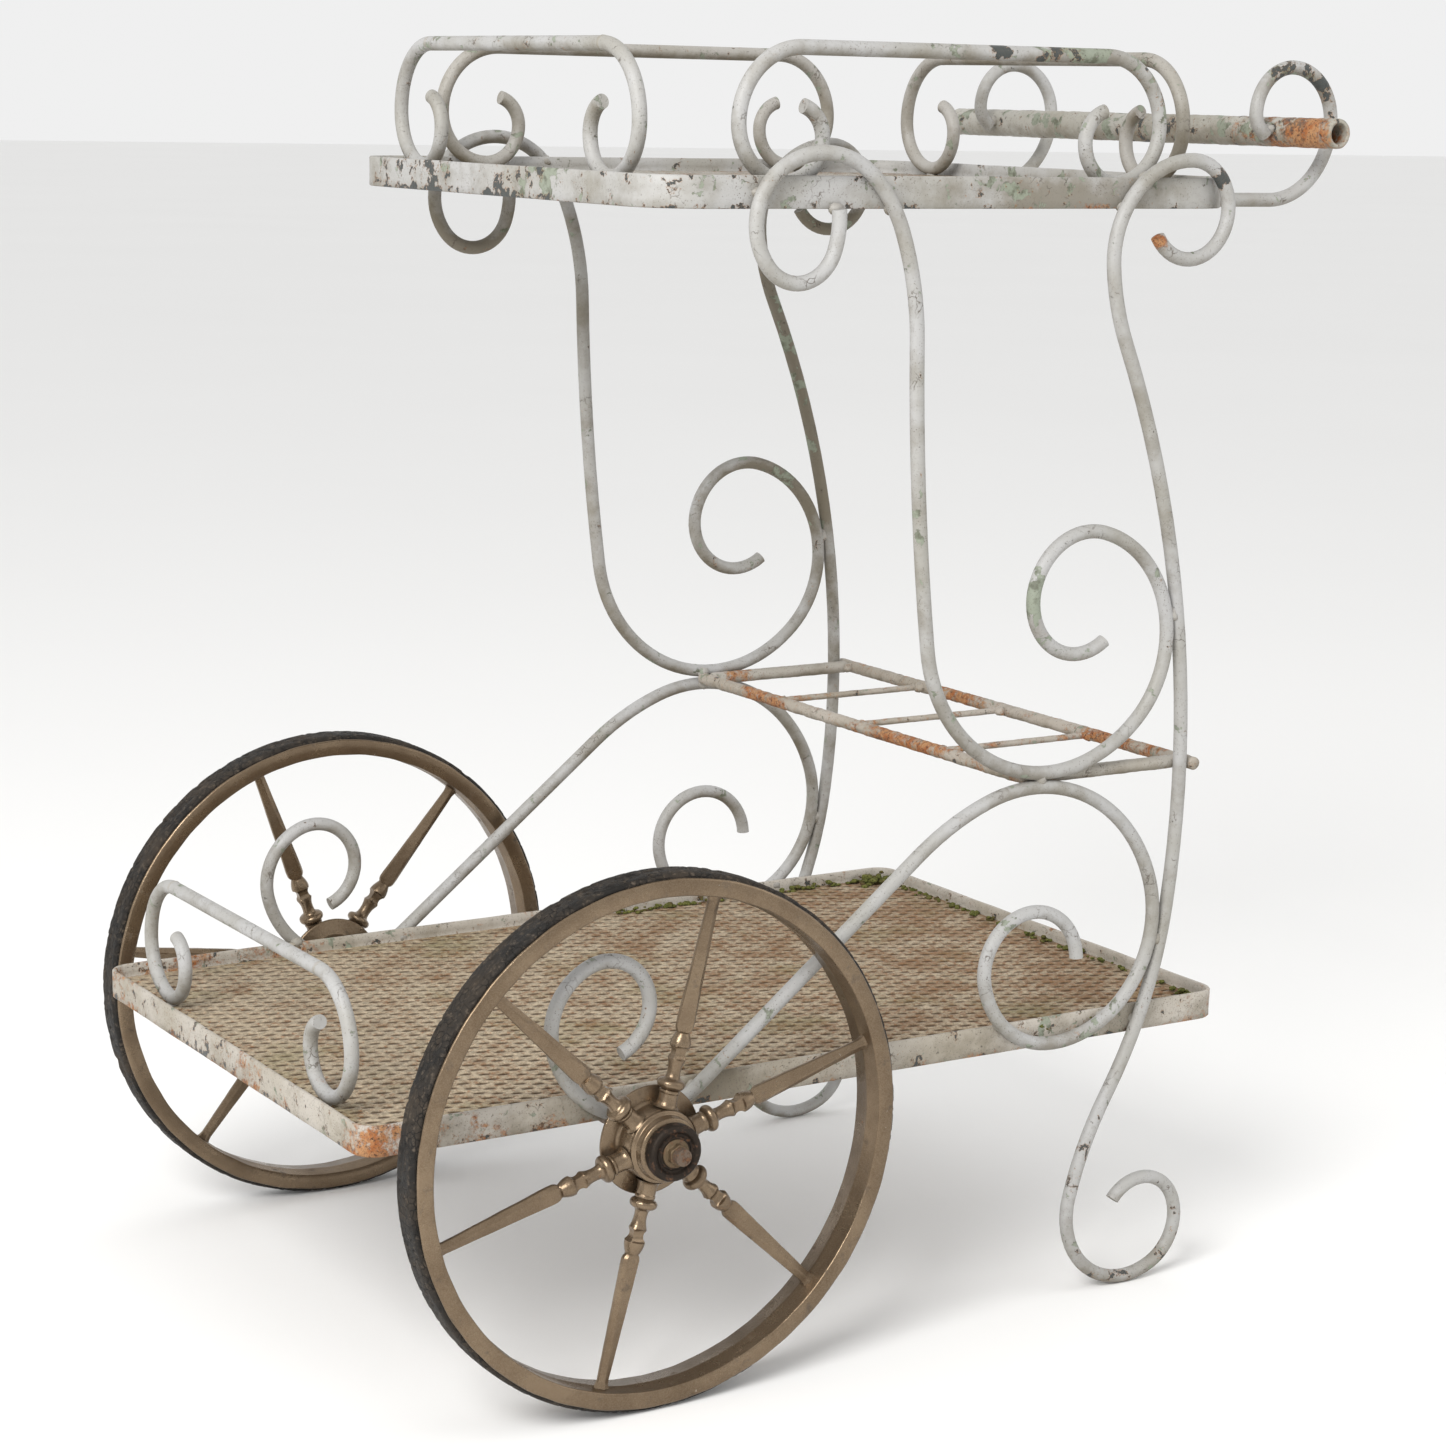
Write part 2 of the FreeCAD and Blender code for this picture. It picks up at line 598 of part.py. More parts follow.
# ========================================================== place and write pieces
rearmost = max(x for x, z in points_along(support_line, 0.5)) + rod_radius
foremost = max(wheel_radius, shelf_front_overhang)
middle_of_cart = (rearmost - foremost) / 2.0
os.makedirs("parts", exist_ok=True)
for name in sorted(solids):
    shape = solids[name]
    shape.translate(FreeCAD.Vector(-middle_of_cart, 0.0, 0.0))
    shape.exportStep("parts/" + name + ".step")
    room = shape.BoundBox
    print(name, len(shape.Solids), "solids, valid", shape.isValid(),
          "x %.2f..%.2f y %.2f..%.2f z %.2f..%.2f" % (room.XMin, room.XMax, room.YMin, room.YMax,
                                                       room.ZMin, room.ZMax))
print("middle of cart behind axle %.3f" % middle_of_cart)
print("junction", round(junction_x, 2), round(junction_z, 2), "tray floor", round(tray_floor, 2),
      "tube height", round(tube_height, 2))
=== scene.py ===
import json
import math
import random

import bpy
from mathutils import Matrix, Vector, noise
from mathutils.bvhtree import BVHTree


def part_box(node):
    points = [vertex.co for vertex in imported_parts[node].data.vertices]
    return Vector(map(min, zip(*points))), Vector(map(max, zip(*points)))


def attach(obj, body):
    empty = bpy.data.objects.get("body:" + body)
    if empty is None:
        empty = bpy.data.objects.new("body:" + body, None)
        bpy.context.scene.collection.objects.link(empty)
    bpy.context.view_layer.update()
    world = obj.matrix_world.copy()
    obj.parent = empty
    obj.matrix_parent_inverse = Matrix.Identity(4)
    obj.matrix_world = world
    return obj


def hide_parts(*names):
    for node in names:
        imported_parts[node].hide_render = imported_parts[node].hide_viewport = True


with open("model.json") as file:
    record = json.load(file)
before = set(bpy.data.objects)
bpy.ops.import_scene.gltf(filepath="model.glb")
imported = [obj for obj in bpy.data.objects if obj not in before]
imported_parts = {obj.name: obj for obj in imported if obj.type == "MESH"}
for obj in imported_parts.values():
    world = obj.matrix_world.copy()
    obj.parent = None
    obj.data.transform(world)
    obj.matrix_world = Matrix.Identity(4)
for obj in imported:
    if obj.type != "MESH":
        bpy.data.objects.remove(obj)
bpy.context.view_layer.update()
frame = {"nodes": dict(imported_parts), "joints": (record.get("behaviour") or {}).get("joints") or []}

cad_parts = frame["nodes"]

# ------------------------------------------------------------------ side frames
# Leg, brace and tray scrolls of 9.5 mm round bar, bent cold and welded side by
# side in one plane, brushed white over a sage undercoat long ago and left out
# of doors: crazed, chipped to the iron, and darker on every underside, partly dirt and partly painted
# shade.


class Finish:
    """A surface built up coat by coat, placed on the iron in metres."""

    def __init__(self, name):
        self.material = bpy.data.materials.new(name)
        self.material.use_nodes = True
        self.tree = self.material.node_tree
        self.tree.nodes.clear()
        self.place = self.tree.nodes.new("ShaderNodeTexCoord").outputs["Object"]
        self.normal = self.tree.nodes.new("ShaderNodeNewGeometry").outputs["Normal"]

    def plug(self, socket, value):
        if isinstance(value, bpy.types.NodeSocket):
            self.tree.links.new(value, socket)
        elif socket.type == "RGBA":
            socket.default_value = (*value, 1.0)
        else:
            socket.default_value = value

    def work(self, operation, first, second=0.0):
        node = self.tree.nodes.new("ShaderNodeMath")
        node.operation = operation
        self.plug(node.inputs[0], first)
        self.plug(node.inputs[1], second)
        return node.outputs[0]

    def plus(self, first, second):
        return self.work("ADD", first, second)

    def times(self, first, second):
        return self.work("MULTIPLY", first, second)

    def patches(self, per_metre, detail=3.0, roughness=0.5, twist=0.0):
        node = self.tree.nodes.new("ShaderNodeTexNoise")
        self.plug(node.inputs["Vector"], self.place)
        node.inputs["Scale"].default_value = per_metre
        node.inputs["Detail"].default_value = detail
        node.inputs["Roughness"].default_value = roughness
        node.inputs["Distortion"].default_value = twist
        return node.outputs[0]

    def cells(self, per_metre, edges=False, where=None):
        node = self.tree.nodes.new("ShaderNodeTexVoronoi")
        node.feature = "DISTANCE_TO_EDGE" if edges else "F1"
        self.plug(node.inputs["Vector"], where or self.place)
        node.inputs["Scale"].default_value = per_metre
        return node.outputs[0]

    def between(self, value, low, high, start=0.0, end=1.0):
        node = self.tree.nodes.new("ShaderNodeMapRange")
        node.clamp = True
        self.plug(node.inputs["Value"], value)
        self.plug(node.inputs["From Min"], low)
        self.plug(node.inputs["From Max"], high)
        node.inputs["To Min"].default_value = start
        node.inputs["To Max"].default_value = end
        return node.outputs[0]

    def axis(self, source, letter):
        node = self.tree.nodes.new("ShaderNodeSeparateXYZ")
        self.plug(node.inputs[0], source)
        return node.outputs["XYZ".index(letter)]

    def near(self, point, reach):
        node = self.tree.nodes.new("ShaderNodeVectorMath")
        node.operation = "DISTANCE"
        self.plug(node.inputs[0], self.place)
        node.inputs[1].default_value = point
        return self.between(node.outputs["Value"], reach, reach * 0.25)

    def coat(self, under, over, share):
        node = self.tree.nodes.new("ShaderNodeMix")
        node.data_type = "RGBA"
        self.plug(node.inputs[0], share)
        self.plug(node.inputs[6], under)
        self.plug(node.inputs[7], over)
        return node.outputs[2]

    def dress(self, colour, roughness, height, depth, metallic=0.0, gloss=0.5):
        shader = self.tree.nodes.new("ShaderNodeBsdfPrincipled")
        self.plug(shader.inputs["Base Color"], colour)
        self.plug(shader.inputs["Roughness"], roughness)
        self.plug(shader.inputs["Metallic"], metallic)
        shader.inputs["Specular IOR Level"].default_value = gloss
        relief = self.tree.nodes.new("ShaderNodeBump")
        relief.inputs["Strength"].default_value = 1.0
        relief.inputs["Distance"].default_value = depth
        self.plug(relief.inputs["Height"], height)
        self.plug(shader.inputs["Normal"], relief.outputs[0])
        out = self.tree.nodes.new("ShaderNodeOutputMaterial")
        self.plug(out.inputs["Surface"], shader.outputs[0])
        return self.material


def old_paint(name, chips=0.0, sage=0.0, rust=0.0, dirt_and_shade=0.5, specks=0.5, tone=(0.395, 0.392, 0.385),
              worn=(), rusty=(), mossy=(), soiled=(), low_edge=None):
    """Aged white paint. worn, rusty, mossy and soiled are (point, reach, strength) places; the dirt amount
    also sets the painted shade on undersides.
    """
    finish = Finish(name)
    # downward-facing surfaces, used for dirt and for painted shade underneath
    underside_dirt_and_shade = finish.between(finish.axis(finish.normal, "Z"), 0.45, -0.85)

    def places(spots):
        total = 0.0
        for point, reach, strength in spots:
            total = finish.plus(total, finish.times(finish.near(point, reach), strength))
        return total

    broad = finish.patches(16.0, 4.0, 0.55)
    colour = finish.coat(tone, tuple(c * k for c, k in zip(tone, (0.80, 0.78, 0.72))),
                         finish.between(broad, 0.40, 0.66))
    # grey-green film of weather in patches, and a dark film on every downward-facing surface that is partly
    # dirt and partly painted shade
    film_and_shade = finish.plus(finish.times(underside_dirt_and_shade, 0.20 + 0.16 * dirt_and_shade),
                       finish.times(finish.patches(34.0, 7.0, 0.66), 1.0))
    film_and_shade = finish.plus(film_and_shade, places(soiled))
    film_and_shade = finish.between(film_and_shade, 0.58 - 0.07 * dirt_and_shade, 0.86)
    film_and_shade = finish.times(film_and_shade, 0.5 + 0.4 * dirt_and_shade)
    colour = finish.coat(colour, (0.130, 0.105, 0.062), film_and_shade)
    # undercoat showing where the top coat flaked
    flake = finish.patches(62.0, 9.0, 0.62, 0.4)
    flake = finish.plus(flake, places(mossy))
    flaked = finish.between(flake, 0.650 - 0.06 * sage, 0.662 - 0.06 * sage)
    sage_tone = finish.coat((0.235, 0.262, 0.200), (0.105, 0.115, 0.075),
                            finish.between(finish.patches(130.0, 5.0, 0.6), 0.48, 0.62))
    colour = finish.coat(colour, sage_tone, finish.times(flaked, 0.9))
    # chips down to dark iron, with a rusty margin
    chip_field = finish.patches(88.0, 10.0, 0.70, 0.25)
    chip_field = finish.plus(chip_field, places(worn))
    chip_field = finish.plus(chip_field, finish.times(underside_dirt_and_shade, 0.015))
    rust_field = finish.plus(finish.times(finish.patches(48.0, 10.0, 0.74), 0.65),
                             finish.times(finish.patches(230.0, 6.0, 0.72), 0.35))
    rust_field = finish.plus(rust_field, places(rusty))
    if low_edge:
        edge = finish.between(finish.axis(finish.place, "Z"), low_edge + 0.0055, low_edge - 0.001,
                              0.0, 0.085)
        chip_field = finish.plus(chip_field, edge)
        rust_field = finish.plus(rust_field, edge)
    margin = finish.between(chip_field, 0.665 - 0.06 * chips, 0.680 - 0.06 * chips)
    chipped = finish.between(chip_field, 0.684 - 0.06 * chips, 0.694 - 0.06 * chips)
    colour = finish.coat(colour, (0.36, 0.19, 0.085), finish.times(margin, 0.7))
    colour = finish.coat(colour, (0.050, 0.055, 0.052), chipped)
    # rust blooming through
    rusted = finish.between(rust_field, 0.660 - 0.08 * rust, 0.740 - 0.08 * rust)
    rust_tone = finish.coat((0.40, 0.205, 0.090), (0.31, 0.105, 0.030),
                            finish.between(finish.patches(150.0, 6.0, 0.7), 0.44, 0.60))
    rust_tone = finish.coat(rust_tone, (0.085, 0.035, 0.018),
                            finish.between(finish.patches(480.0, 6.0, 0.75), 0.52, 0.60))
    colour = finish.coat(colour, rust_tone, rusted)
    # fine dark speckle and hair cracks
    mottle = finish.between(finish.patches(55.0, 5.0, 0.6), 0.52 - 0.10 * specks, 0.66)
    dot = finish.between(finish.cells(560.0), 0.27, 0.16)
    colour = finish.coat(colour, (0.12, 0.10, 0.08), finish.times(dot, finish.times(mottle, 0.85)))
    nick = finish.between(finish.patches(210.0, 7.0, 0.72), 0.690 - 0.03 * specks, 0.705 - 0.03 * specks)
    colour = finish.coat(colour, (0.085, 0.070, 0.052), finish.times(nick, 0.85))
    pepper = finish.between(finish.patches(520.0, 4.0, 0.75), 0.62 - 0.03 * specks, 0.70)
    colour = finish.coat(colour, (0.10, 0.085, 0.065), finish.times(pepper, 0.30 + 0.35 * specks))
    wandering = finish.tree.nodes.new("ShaderNodeVectorMath")
    wandering.operation = "MULTIPLY_ADD"
    shift = finish.tree.nodes.new("ShaderNodeTexNoise")
    shift.inputs["Scale"].default_value = 160.0
    finish.plug(shift.inputs["Vector"], finish.place)
    finish.plug(wandering.inputs[0], shift.outputs["Color"])
    wandering.inputs[1].default_value = (0.008, 0.008, 0.008)
    finish.plug(wandering.inputs[2], finish.place)
    crack = finish.between(finish.cells(105.0, True, wandering.outputs[0]), 0.030, 0.012)
    crack_where = finish.between(finish.patches(44.0, 5.0, 0.6), 0.57, 0.64)
    crack = finish.times(crack, crack_where)
    colour = finish.coat(colour, (0.10, 0.08, 0.06), finish.times(crack, 0.75))
    # relief: thickness of the paint, rust crust, brush and orange-peel unevenness
    height = finish.plus(finish.times(finish.patches(260.0, 4.0, 0.6), 0.30),
                         finish.times(finish.patches(1100.0, 3.0, 0.6), 0.16))
    height = finish.plus(height, finish.times(nick, -0.25))
    height = finish.plus(height, finish.times(flaked, -0.22))
    height = finish.plus(height, finish.times(chipped, -0.45))
    height = finish.plus(height, finish.times(crack, -0.35))
    crust = finish.times(rusted, finish.patches(600.0, 5.0, 0.7))
    height = finish.plus(height, finish.times(crust, 0.7))
    matt = finish.plus(finish.times(finish.work("MAXIMUM", rusted, film_and_shade), 0.30), 0.50)
    matt = finish.work("SUBTRACT", matt, finish.times(chipped, 0.10))
    return finish.dress(colour, matt, height, 0.0007, gloss=0.42)


def paint_parts(material, names):
    for name in names:
        for slot in cad_parts[name].material_slots:
            slot.material = material


leg_low, leg_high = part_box("leg_scroll_left")
near_y = (leg_low.y + leg_high.y) / 2
far_y = -near_y
near_frame_paint = old_paint(
    "near_frame_paint", chips=0.05, sage=0.15, rust=0.05, dirt_and_shade=0.30, specks=0.8,
    worn=[((0.181, near_y, 0.010), 0.045, 0.15), ((0.240, near_y, 0.022), 0.030, 0.13),
          ((0.158, near_y, 0.100), 0.045, 0.10), ((0.238, near_y, 0.769), 0.010, 0.30)],
    rusty=[((0.188, near_y, 0.728), 0.013, 0.32), ((0.138, near_y, 0.190), 0.03, 0.10)],
    mossy=[((0.138, near_y, 0.195), 0.06, 0.10), ((0.100, near_y, 0.480), 0.05, 0.14),
           ((0.155, near_y, 0.560), 0.03, 0.08)],
    soiled=[((0.080, near_y, 0.380), 0.10, 0.14), ((0.100, near_y, 0.480), 0.04, 0.16),
            ((0.138, near_y, 0.190), 0.05, 0.22), ((0.181, near_y, 0.012), 0.07, 0.16)])
far_frame_paint = old_paint(
    "far_frame_paint", chips=0.25, sage=0.35, rust=0.15, dirt_and_shade=0.8, specks=0.9,
    soiled=[((0.191, far_y, 0.620), 0.15, 0.36), ((0.213, far_y, 0.510), 0.09, 0.20),
            ((-0.087, far_y, 0.705), 0.06, 0.34),
            ((0.215, far_y, 0.713), 0.05, 0.34), ((0.226, far_y, 0.412), 0.05, 0.12),
            ((0.208, far_y, 0.285), 0.08, 0.10)],
    mossy=[((0.191, far_y, 0.62), 0.15, 0.09)])
paint_parts(near_frame_paint, ["leg_scroll_left", "brace_scroll_left", "tray_scroll_left"])
paint_parts(far_frame_paint, ["leg_scroll_right", "brace_scroll_right", "tray_scroll_right"])

# ------------------------------------------------------------------ shelf and tray rims
# 20 mm rolled steel angle bent round each deck with its upright leg outside,
# corners hammered round and closed with a weld, so the faces are a little wavy.


def piece_from(name, points, faces, material, body, stands_for=None):
    """Makes one piece of the cart, lets it ride on its body and stand for a plainer part."""
    mesh = bpy.data.meshes.new(name)
    mesh.from_pydata([tuple(p) for p in points], [], faces)
    mesh.validate()
    mesh.update()
    mesh.polygons.foreach_set("use_smooth", [True] * len(mesh.polygons))
    mesh.materials.append(material)
    piece = bpy.data.objects.new(name, mesh)
    bpy.context.scene.collection.objects.link(piece)
    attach(piece, body)
    if stands_for:
        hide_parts(stands_for)
    return piece


def outline_walk(low, high, corner, step):
    """Points and inward directions round a rectangle with rounded corners."""
    walk = []
    centres = [(high.x - corner, high.y - corner, 0.0), (low.x + corner, high.y - corner, 90.0),
               (low.x + corner, low.y + corner, 180.0), (high.x - corner, low.y + corner, 270.0)]
    turns = max(8, int(corner * math.pi / 2 / step) + 1)
    for number, (x, y, start) in enumerate(centres):
        for part in range(turns + 1):
            angle = math.radians(start + 90.0 * part / turns)
            out = Vector((math.cos(angle), math.sin(angle)))
            walk.append((Vector((x, y)) + out * corner, -out))
        next_x, next_y, _ = centres[(number + 1) % 4]
        here = walk[-1][0]
        there = Vector((next_x, next_y)) + out * corner
        count = max(2, int((there - here).length / step))
        for part in range(1, count):
            walk.append((here.lerp(there, part / count), -out))
    return walk


def rim_piece(name, node, corner, material, wave):
    low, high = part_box(node)
    section = [(0.0, 0.7), (0.0, 6.0), (0.0, 13.0), (0.0, 19.2), (0.7, 20.0), (2.2, 20.0), (3.0, 19.3),
               (3.0, 14.0), (3.0, 9.8), (3.5, 9.3), (15.3, 9.3), (16.0, 8.7), (16.0, 6.9), (15.3, 6.3),
               (3.6, 6.3), (3.0, 5.7), (3.0, 0.7), (2.3, 0.0), (0.7, 0.0)]
    walk = outline_walk(low, high, corner, 0.005)
    points = []
    faces = []
    for spot, inward in walk:
        for across, up in section:
            swell = noise.noise(Vector((spot.x * 22, spot.y * 22, up * 0.03))) * wave
            swell += noise.noise(Vector((spot.x * 130, spot.y * 130, up * 0.2))) * wave * 0.35
            lift = noise.noise(Vector((spot.x * 30 + 7, spot.y * 30, 0.0))) * wave * 0.5
            inset = Vector(spot) + inward * (across / 1000.0 + max(swell, -0.0002))
            points.append((inset.x, inset.y, low.z + up / 1000.0 + (lift if up > 10 else lift * 0.4)))
    count = len(section)
    for number in range(len(walk)):
        after = (number + 1) % len(walk)
        for side in range(count):
            beside = (side + 1) % count
            faces.append((number * count + side, after * count + side,
                          after * count + beside, number * count + beside))
    piece_from(name, points, faces, material, "cart", node)


shelf_low, shelf_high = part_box("shelf_rim")
tray_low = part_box("tray_rim")[0]
shelf_rim_paint = old_paint(
    "shelf_rim_paint", chips=0.95, sage=0.35, rust=1.05, dirt_and_shade=0.40, specks=1.5, tone=(0.44, 0.405, 0.355),
    low_edge=shelf_low.z,
    soiled=[((-0.152, shelf_low.y, shelf_low.z + 0.01), 0.07, 0.26),
            ((0.138, shelf_low.y, shelf_low.z), 0.09, 0.12)],
    rusty=[((-0.3805, -0.2085, 0.195), 0.030, 0.17), ((-0.302, -0.211, 0.196), 0.030, 0.05),
           ((-0.250, -0.211, 0.192), 0.030, 0.04), ((-0.388, -0.047, 0.200), 0.05, 0.05),
           ((-0.340, 0.205, 0.200), 0.09, 0.10), ((-0.240, 0.208, 0.203), 0.05, 0.09),
           ((0.266, -0.211, 0.195), 0.05, 0.03)],
    worn=[((-0.388, 0.03, 0.20), 0.09, 0.05), ((-0.300, 0.208, 0.203), 0.12, 0.05)],
    mossy=[((0.138, shelf_low.y, shelf_low.z + 0.01), 0.07, 0.10), ((-0.25, 0.209, 0.203), 0.15, 0.05)])
tray_rim_paint = old_paint(
    "tray_rim_paint", chips=0.65, sage=0.60, rust=0.25, dirt_and_shade=0.35, specks=0.8, tone=(0.405, 0.40, 0.39),
    low_edge=tray_low.z,
    worn=[((-0.191, 0.087, 0.759), 0.045, 0.12), ((-0.191, -0.013, 0.757), 0.035, 0.11),
          ((-0.191, -0.062, 0.755), 0.04, 0.08), ((0.061, -0.211, 0.765), 0.018, 0.13),
          ((-0.191, 0.14, 0.760), 0.06, 0.07), ((-0.167, -0.208, 0.750), 0.06, 0.05)],
    rusty=[((0.093, -0.211, 0.748), 0.030, 0.08), ((0.141, -0.211, 0.748), 0.03, 0.09)],
    mossy=[((-0.191, -0.08, 0.758), 0.05, 0.08), ((0.080, -0.211, 0.750), 0.04, 0.05)],
    soiled=[((0.141, -0.211, 0.749), 0.08, 0.24), ((0.070, -0.211, 0.747), 0.07, 0.18)])
rim_piece("shelf_rim_angle", "shelf_rim", 0.016, shelf_rim_paint, 0.00045)
rim_piece("tray_rim_angle", "tray_rim", 0.038, tray_rim_paint, 0.00040)

# ------------------------------------------------------------------ mesh decks
# Flattened expanded steel laid on the rim flange and painted with the rest: each
# opening is a short slit pulled open, one edge of it raised and the other lowered.


def expanded_deck(name, node, corner, material):
    low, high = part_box(node)
    long_step, short_step = 0.01075, 0.0113
    half_long, half_short = 0.0053, 0.0029
    thick, tilt = 0.0022, -0.00022
    top = high.z - 0.0002
    point_x = long_step / 2 + (short_step / 2) ** 2 / (2 * long_step)
    side_x = long_step - point_x
    edge = [(point_x, 0), ((point_x + side_x) / 2, short_step / 4), (side_x, short_step / 2),
            (0, short_step / 2),
            (-side_x, short_step / 2), (-(point_x + side_x) / 2, short_step / 4)]
    edge = edge + [(-x, -y) for x, y in edge]
    slit = []
    for x, y in edge:
        angle = math.atan2(y / half_short, x / half_long)
        c, s = math.cos(angle), math.sin(angle)
        reach = (abs(c) ** 1.65 + abs(s) ** 1.65) ** (-1 / 1.65)
        slit.append((c * reach * half_long, s * reach * half_short, s))
    centre = Vector(((low.x + high.x) / 2, (low.y + high.y) / 2))
    half = Vector(((high.x - low.x) / 2, (high.y - low.y) / 2))

    def held(x, y):
        """Pulls a point back onto the outline of the deck."""
        dx = max(-half.x, min(half.x, x - centre.x))
        dy = max(-half.y, min(half.y, y - centre.y))
        over_x, over_y = abs(dx) - (half.x - corner), abs(dy) - (half.y - corner)
        if over_x > 0 and over_y > 0 and math.hypot(over_x, over_y) > corner:
            k = corner / math.hypot(over_x, over_y)
            dx = math.copysign(half.x - corner + over_x * k, dx)
            dy = math.copysign(half.y - corner + over_y * k, dy)
        return centre.x + dx, centre.y + dy

    def off_edge(x, y):
        return (Vector(held(x, y)) - Vector((x, y))).length

    points, faces, shared = [], [], {}

    def sag(x, y):
        return noise.noise(Vector((x * 9, y * 9, 0.0))) * 0.0006

    def corner_point(x, y, z):
        key = (round(x * 2e5), round(y * 2e5), z > top - thick / 2)
        if key not in shared:
            shared[key] = len(points)
            points.append((x, y, z + sag(x, y)))
        return shared[key]

    columns = int(half.x / long_step) + 2
    rows = int(half.y / short_step) + 2
    for column in range(-columns, columns + 1):
        for row in range(-rows, rows + 1):
            x0 = centre.x + column * long_step
            y0 = centre.y + (row + 0.5 * (column % 2)) * short_step
            if off_edge(x0, y0) > 0.0055:
                continue
            rim_points = [held(x0 + x, y0 + y) for x, y in edge]
            upper = [corner_point(x, y, top) for x, y in rim_points]
            lower = [corner_point(x, y, top - thick) for x, y in rim_points]
            whole = all(off_edge(x0 + x * 1.25, y0 + y * 1.25) < 1e-6 for x, y, s in slit)
            if not whole:
                ring = [k for i, k in enumerate(upper) if k != upper[i - 1]]
                under = [k for i, k in enumerate(lower) if k != lower[i - 1]]
                if len(set(ring)) > 2 and len(set(ring)) == len(ring):
                    faces.append(tuple(ring))
                    faces.append(tuple(reversed(under)))
                continue
            rag = noise.noise(Vector((x0 * 90, y0 * 90, 3.0))) * 0.12
            rings = []
            for grow, drop in ((1.20, 0.0), (1.03, 0.22), (1.0, 0.75), (1.05, 1.0)):
                start = len(points)
                for x, y, s in slit:
                    px, py = x0 + x * (grow + rag * 0.4), y0 + y * (grow + rag)
                    points.append((px, py, top + tilt * s - thick * drop + sag(px, py)))
                rings.append(list(range(start, start + 12)))
            order = [upper] + rings + [lower]
            for a, b in zip(order, order[1:]):
                for k in range(12):
                    m = (k + 1) % 12
                    quad = (a[k], a[m], b[m], b[k])
                    if len(set(quad)) == 4:
                        faces.append(quad)
                    elif len(set(quad)) == 3:
                        faces.append(tuple(dict.fromkeys(quad)))
    piece_from(name, points, faces, material, "cart", node)


def mesh_paint(name, tone, brown, green):
    """Thin old paint on the mesh, rubbed to rust along the strands and worse to the back."""
    finish = Finish(name)
    worn = finish.patches(30.0, 7.0, 0.65)
    worn = finish.plus(worn, finish.between(finish.axis(finish.place, "X"), -0.34, 0.26, -0.05, 0.11))
    colour = finish.coat(tuple(c * 1.15 for c in tone), tuple(c * 0.62 for c in tone),
                         finish.between(finish.patches(260.0, 6.0, 0.75), 0.42, 0.60))
    rust = finish.coat((0.30, 0.125, 0.05), (0.13, 0.07, 0.035),
                       finish.between(finish.patches(500.0, 4.0, 0.6), 0.4, 0.6))
    fine = finish.times(finish.patches(240.0, 6.0, 0.72), 0.9)
    rubbed = finish.between(finish.plus(finish.times(worn, 0.55), fine),
                            0.80 - 0.07 * brown, 0.92 - 0.07 * brown)
    colour = finish.coat(colour, rust, finish.times(rubbed, 0.85))
    pit = finish.between(finish.patches(560.0, 6.0, 0.78), 0.56 - 0.03 * brown, 0.66)
    colour = finish.coat(colour, (0.085, 0.045, 0.022), finish.times(pit, 0.80))
    spark = finish.between(finish.patches(230.0, 8.0, 0.78), 0.60 - 0.02 * brown, 0.66)
    colour = finish.coat(colour, (0.34, 0.125, 0.038), finish.times(spark, 0.8))
    stain = finish.between(worn, 0.46, 0.66)
    colour = finish.coat(colour, (0.20, 0.125, 0.065), finish.times(stain, 0.55 * brown + 0.1))
    algae = finish.between(finish.patches(11.0, 6.0, 0.62), 0.60 - 0.10 * green, 0.72)
    colour = finish.coat(colour, (0.165, 0.150, 0.055), finish.times(algae, 0.6))
    # painted shade: faces turned away from straight up, the slit walls and undersides, are darkened to near
    # black-brown
    slit_wall_shade = finish.between(finish.axis(finish.normal, "Z"), 0.80, 0.15)
    colour = finish.coat(colour, (0.060, 0.036, 0.020), finish.times(slit_wall_shade, 0.92))
    height = finish.patches(900.0, 5.0, 0.7)
    return finish.dress(colour, finish.between(worn, 0.4, 0.7, 0.62, 0.85), height, 0.0003, gloss=0.35)


shelf_mesh_paint = mesh_paint("shelf_mesh_paint", (0.41, 0.335, 0.235), 0.8, 0.7)
tray_mesh_paint = mesh_paint("tray_mesh_paint", (0.40, 0.375, 0.33), 0.2, 0.2)
expanded_deck("shelf_mesh", "shelf_deck", 0.0128, shelf_mesh_paint)
expanded_deck("tray_mesh", "tray_deck", 0.0348, tray_mesh_paint)

# ------------------------------------------------------------------ gallery rails
# C-scrolls of the same round bar, rolled inward at both ends and welded to the
# tray, one on each side, and a lower-standing one on the front of the shelf.

rail_low, rail_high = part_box("gallery_rail_left")
rail_paint = old_paint(
    "rail_paint", chips=0.30, sage=0.45, rust=0.20, dirt_and_shade=0.40, specks=0.9,
    worn=[((0.065, rail_low.y, rail_high.z), 0.016, 0.26), ((0.110, rail_low.y, rail_high.z), 0.04, 0.12),
          ((0.193, rail_low.y, 0.830), 0.03, 0.10)],
    soiled=[((0.129, rail_low.y, rail_high.z), 0.05, 0.20), ((-0.3645, -0.1, 0.20), 0.05, 0.15)],
    rusty=[((-0.366, -0.12, 0.21), 0.03, 0.10)],
    mossy=[((0.125, rail_low.y, rail_high.z), 0.06, 0.16), ((0.193, rail_low.y, 0.830), 0.04, 0.10),
           ((-0.176, 0.108, 0.841), 0.05, 0.08)])
far_rail_paint = old_paint(
    "far_rail_paint", chips=0.35, sage=0.45, rust=0.30, dirt_and_shade=0.7, specks=0.9, tone=(0.37, 0.355, 0.33))
paint_parts(rail_paint, ["gallery_rail_left", "shelf_rail_front", "gallery_rail_front"])
paint_parts(far_rail_paint, ["gallery_rail_right", "gallery_rail_back"])

# ------------------------------------------------------------------ middle frame
# Four round bars and three thin ones welded between the side frames where the
# scrolls meet. Water stands here, so most of the paint has gone to scabby rust.


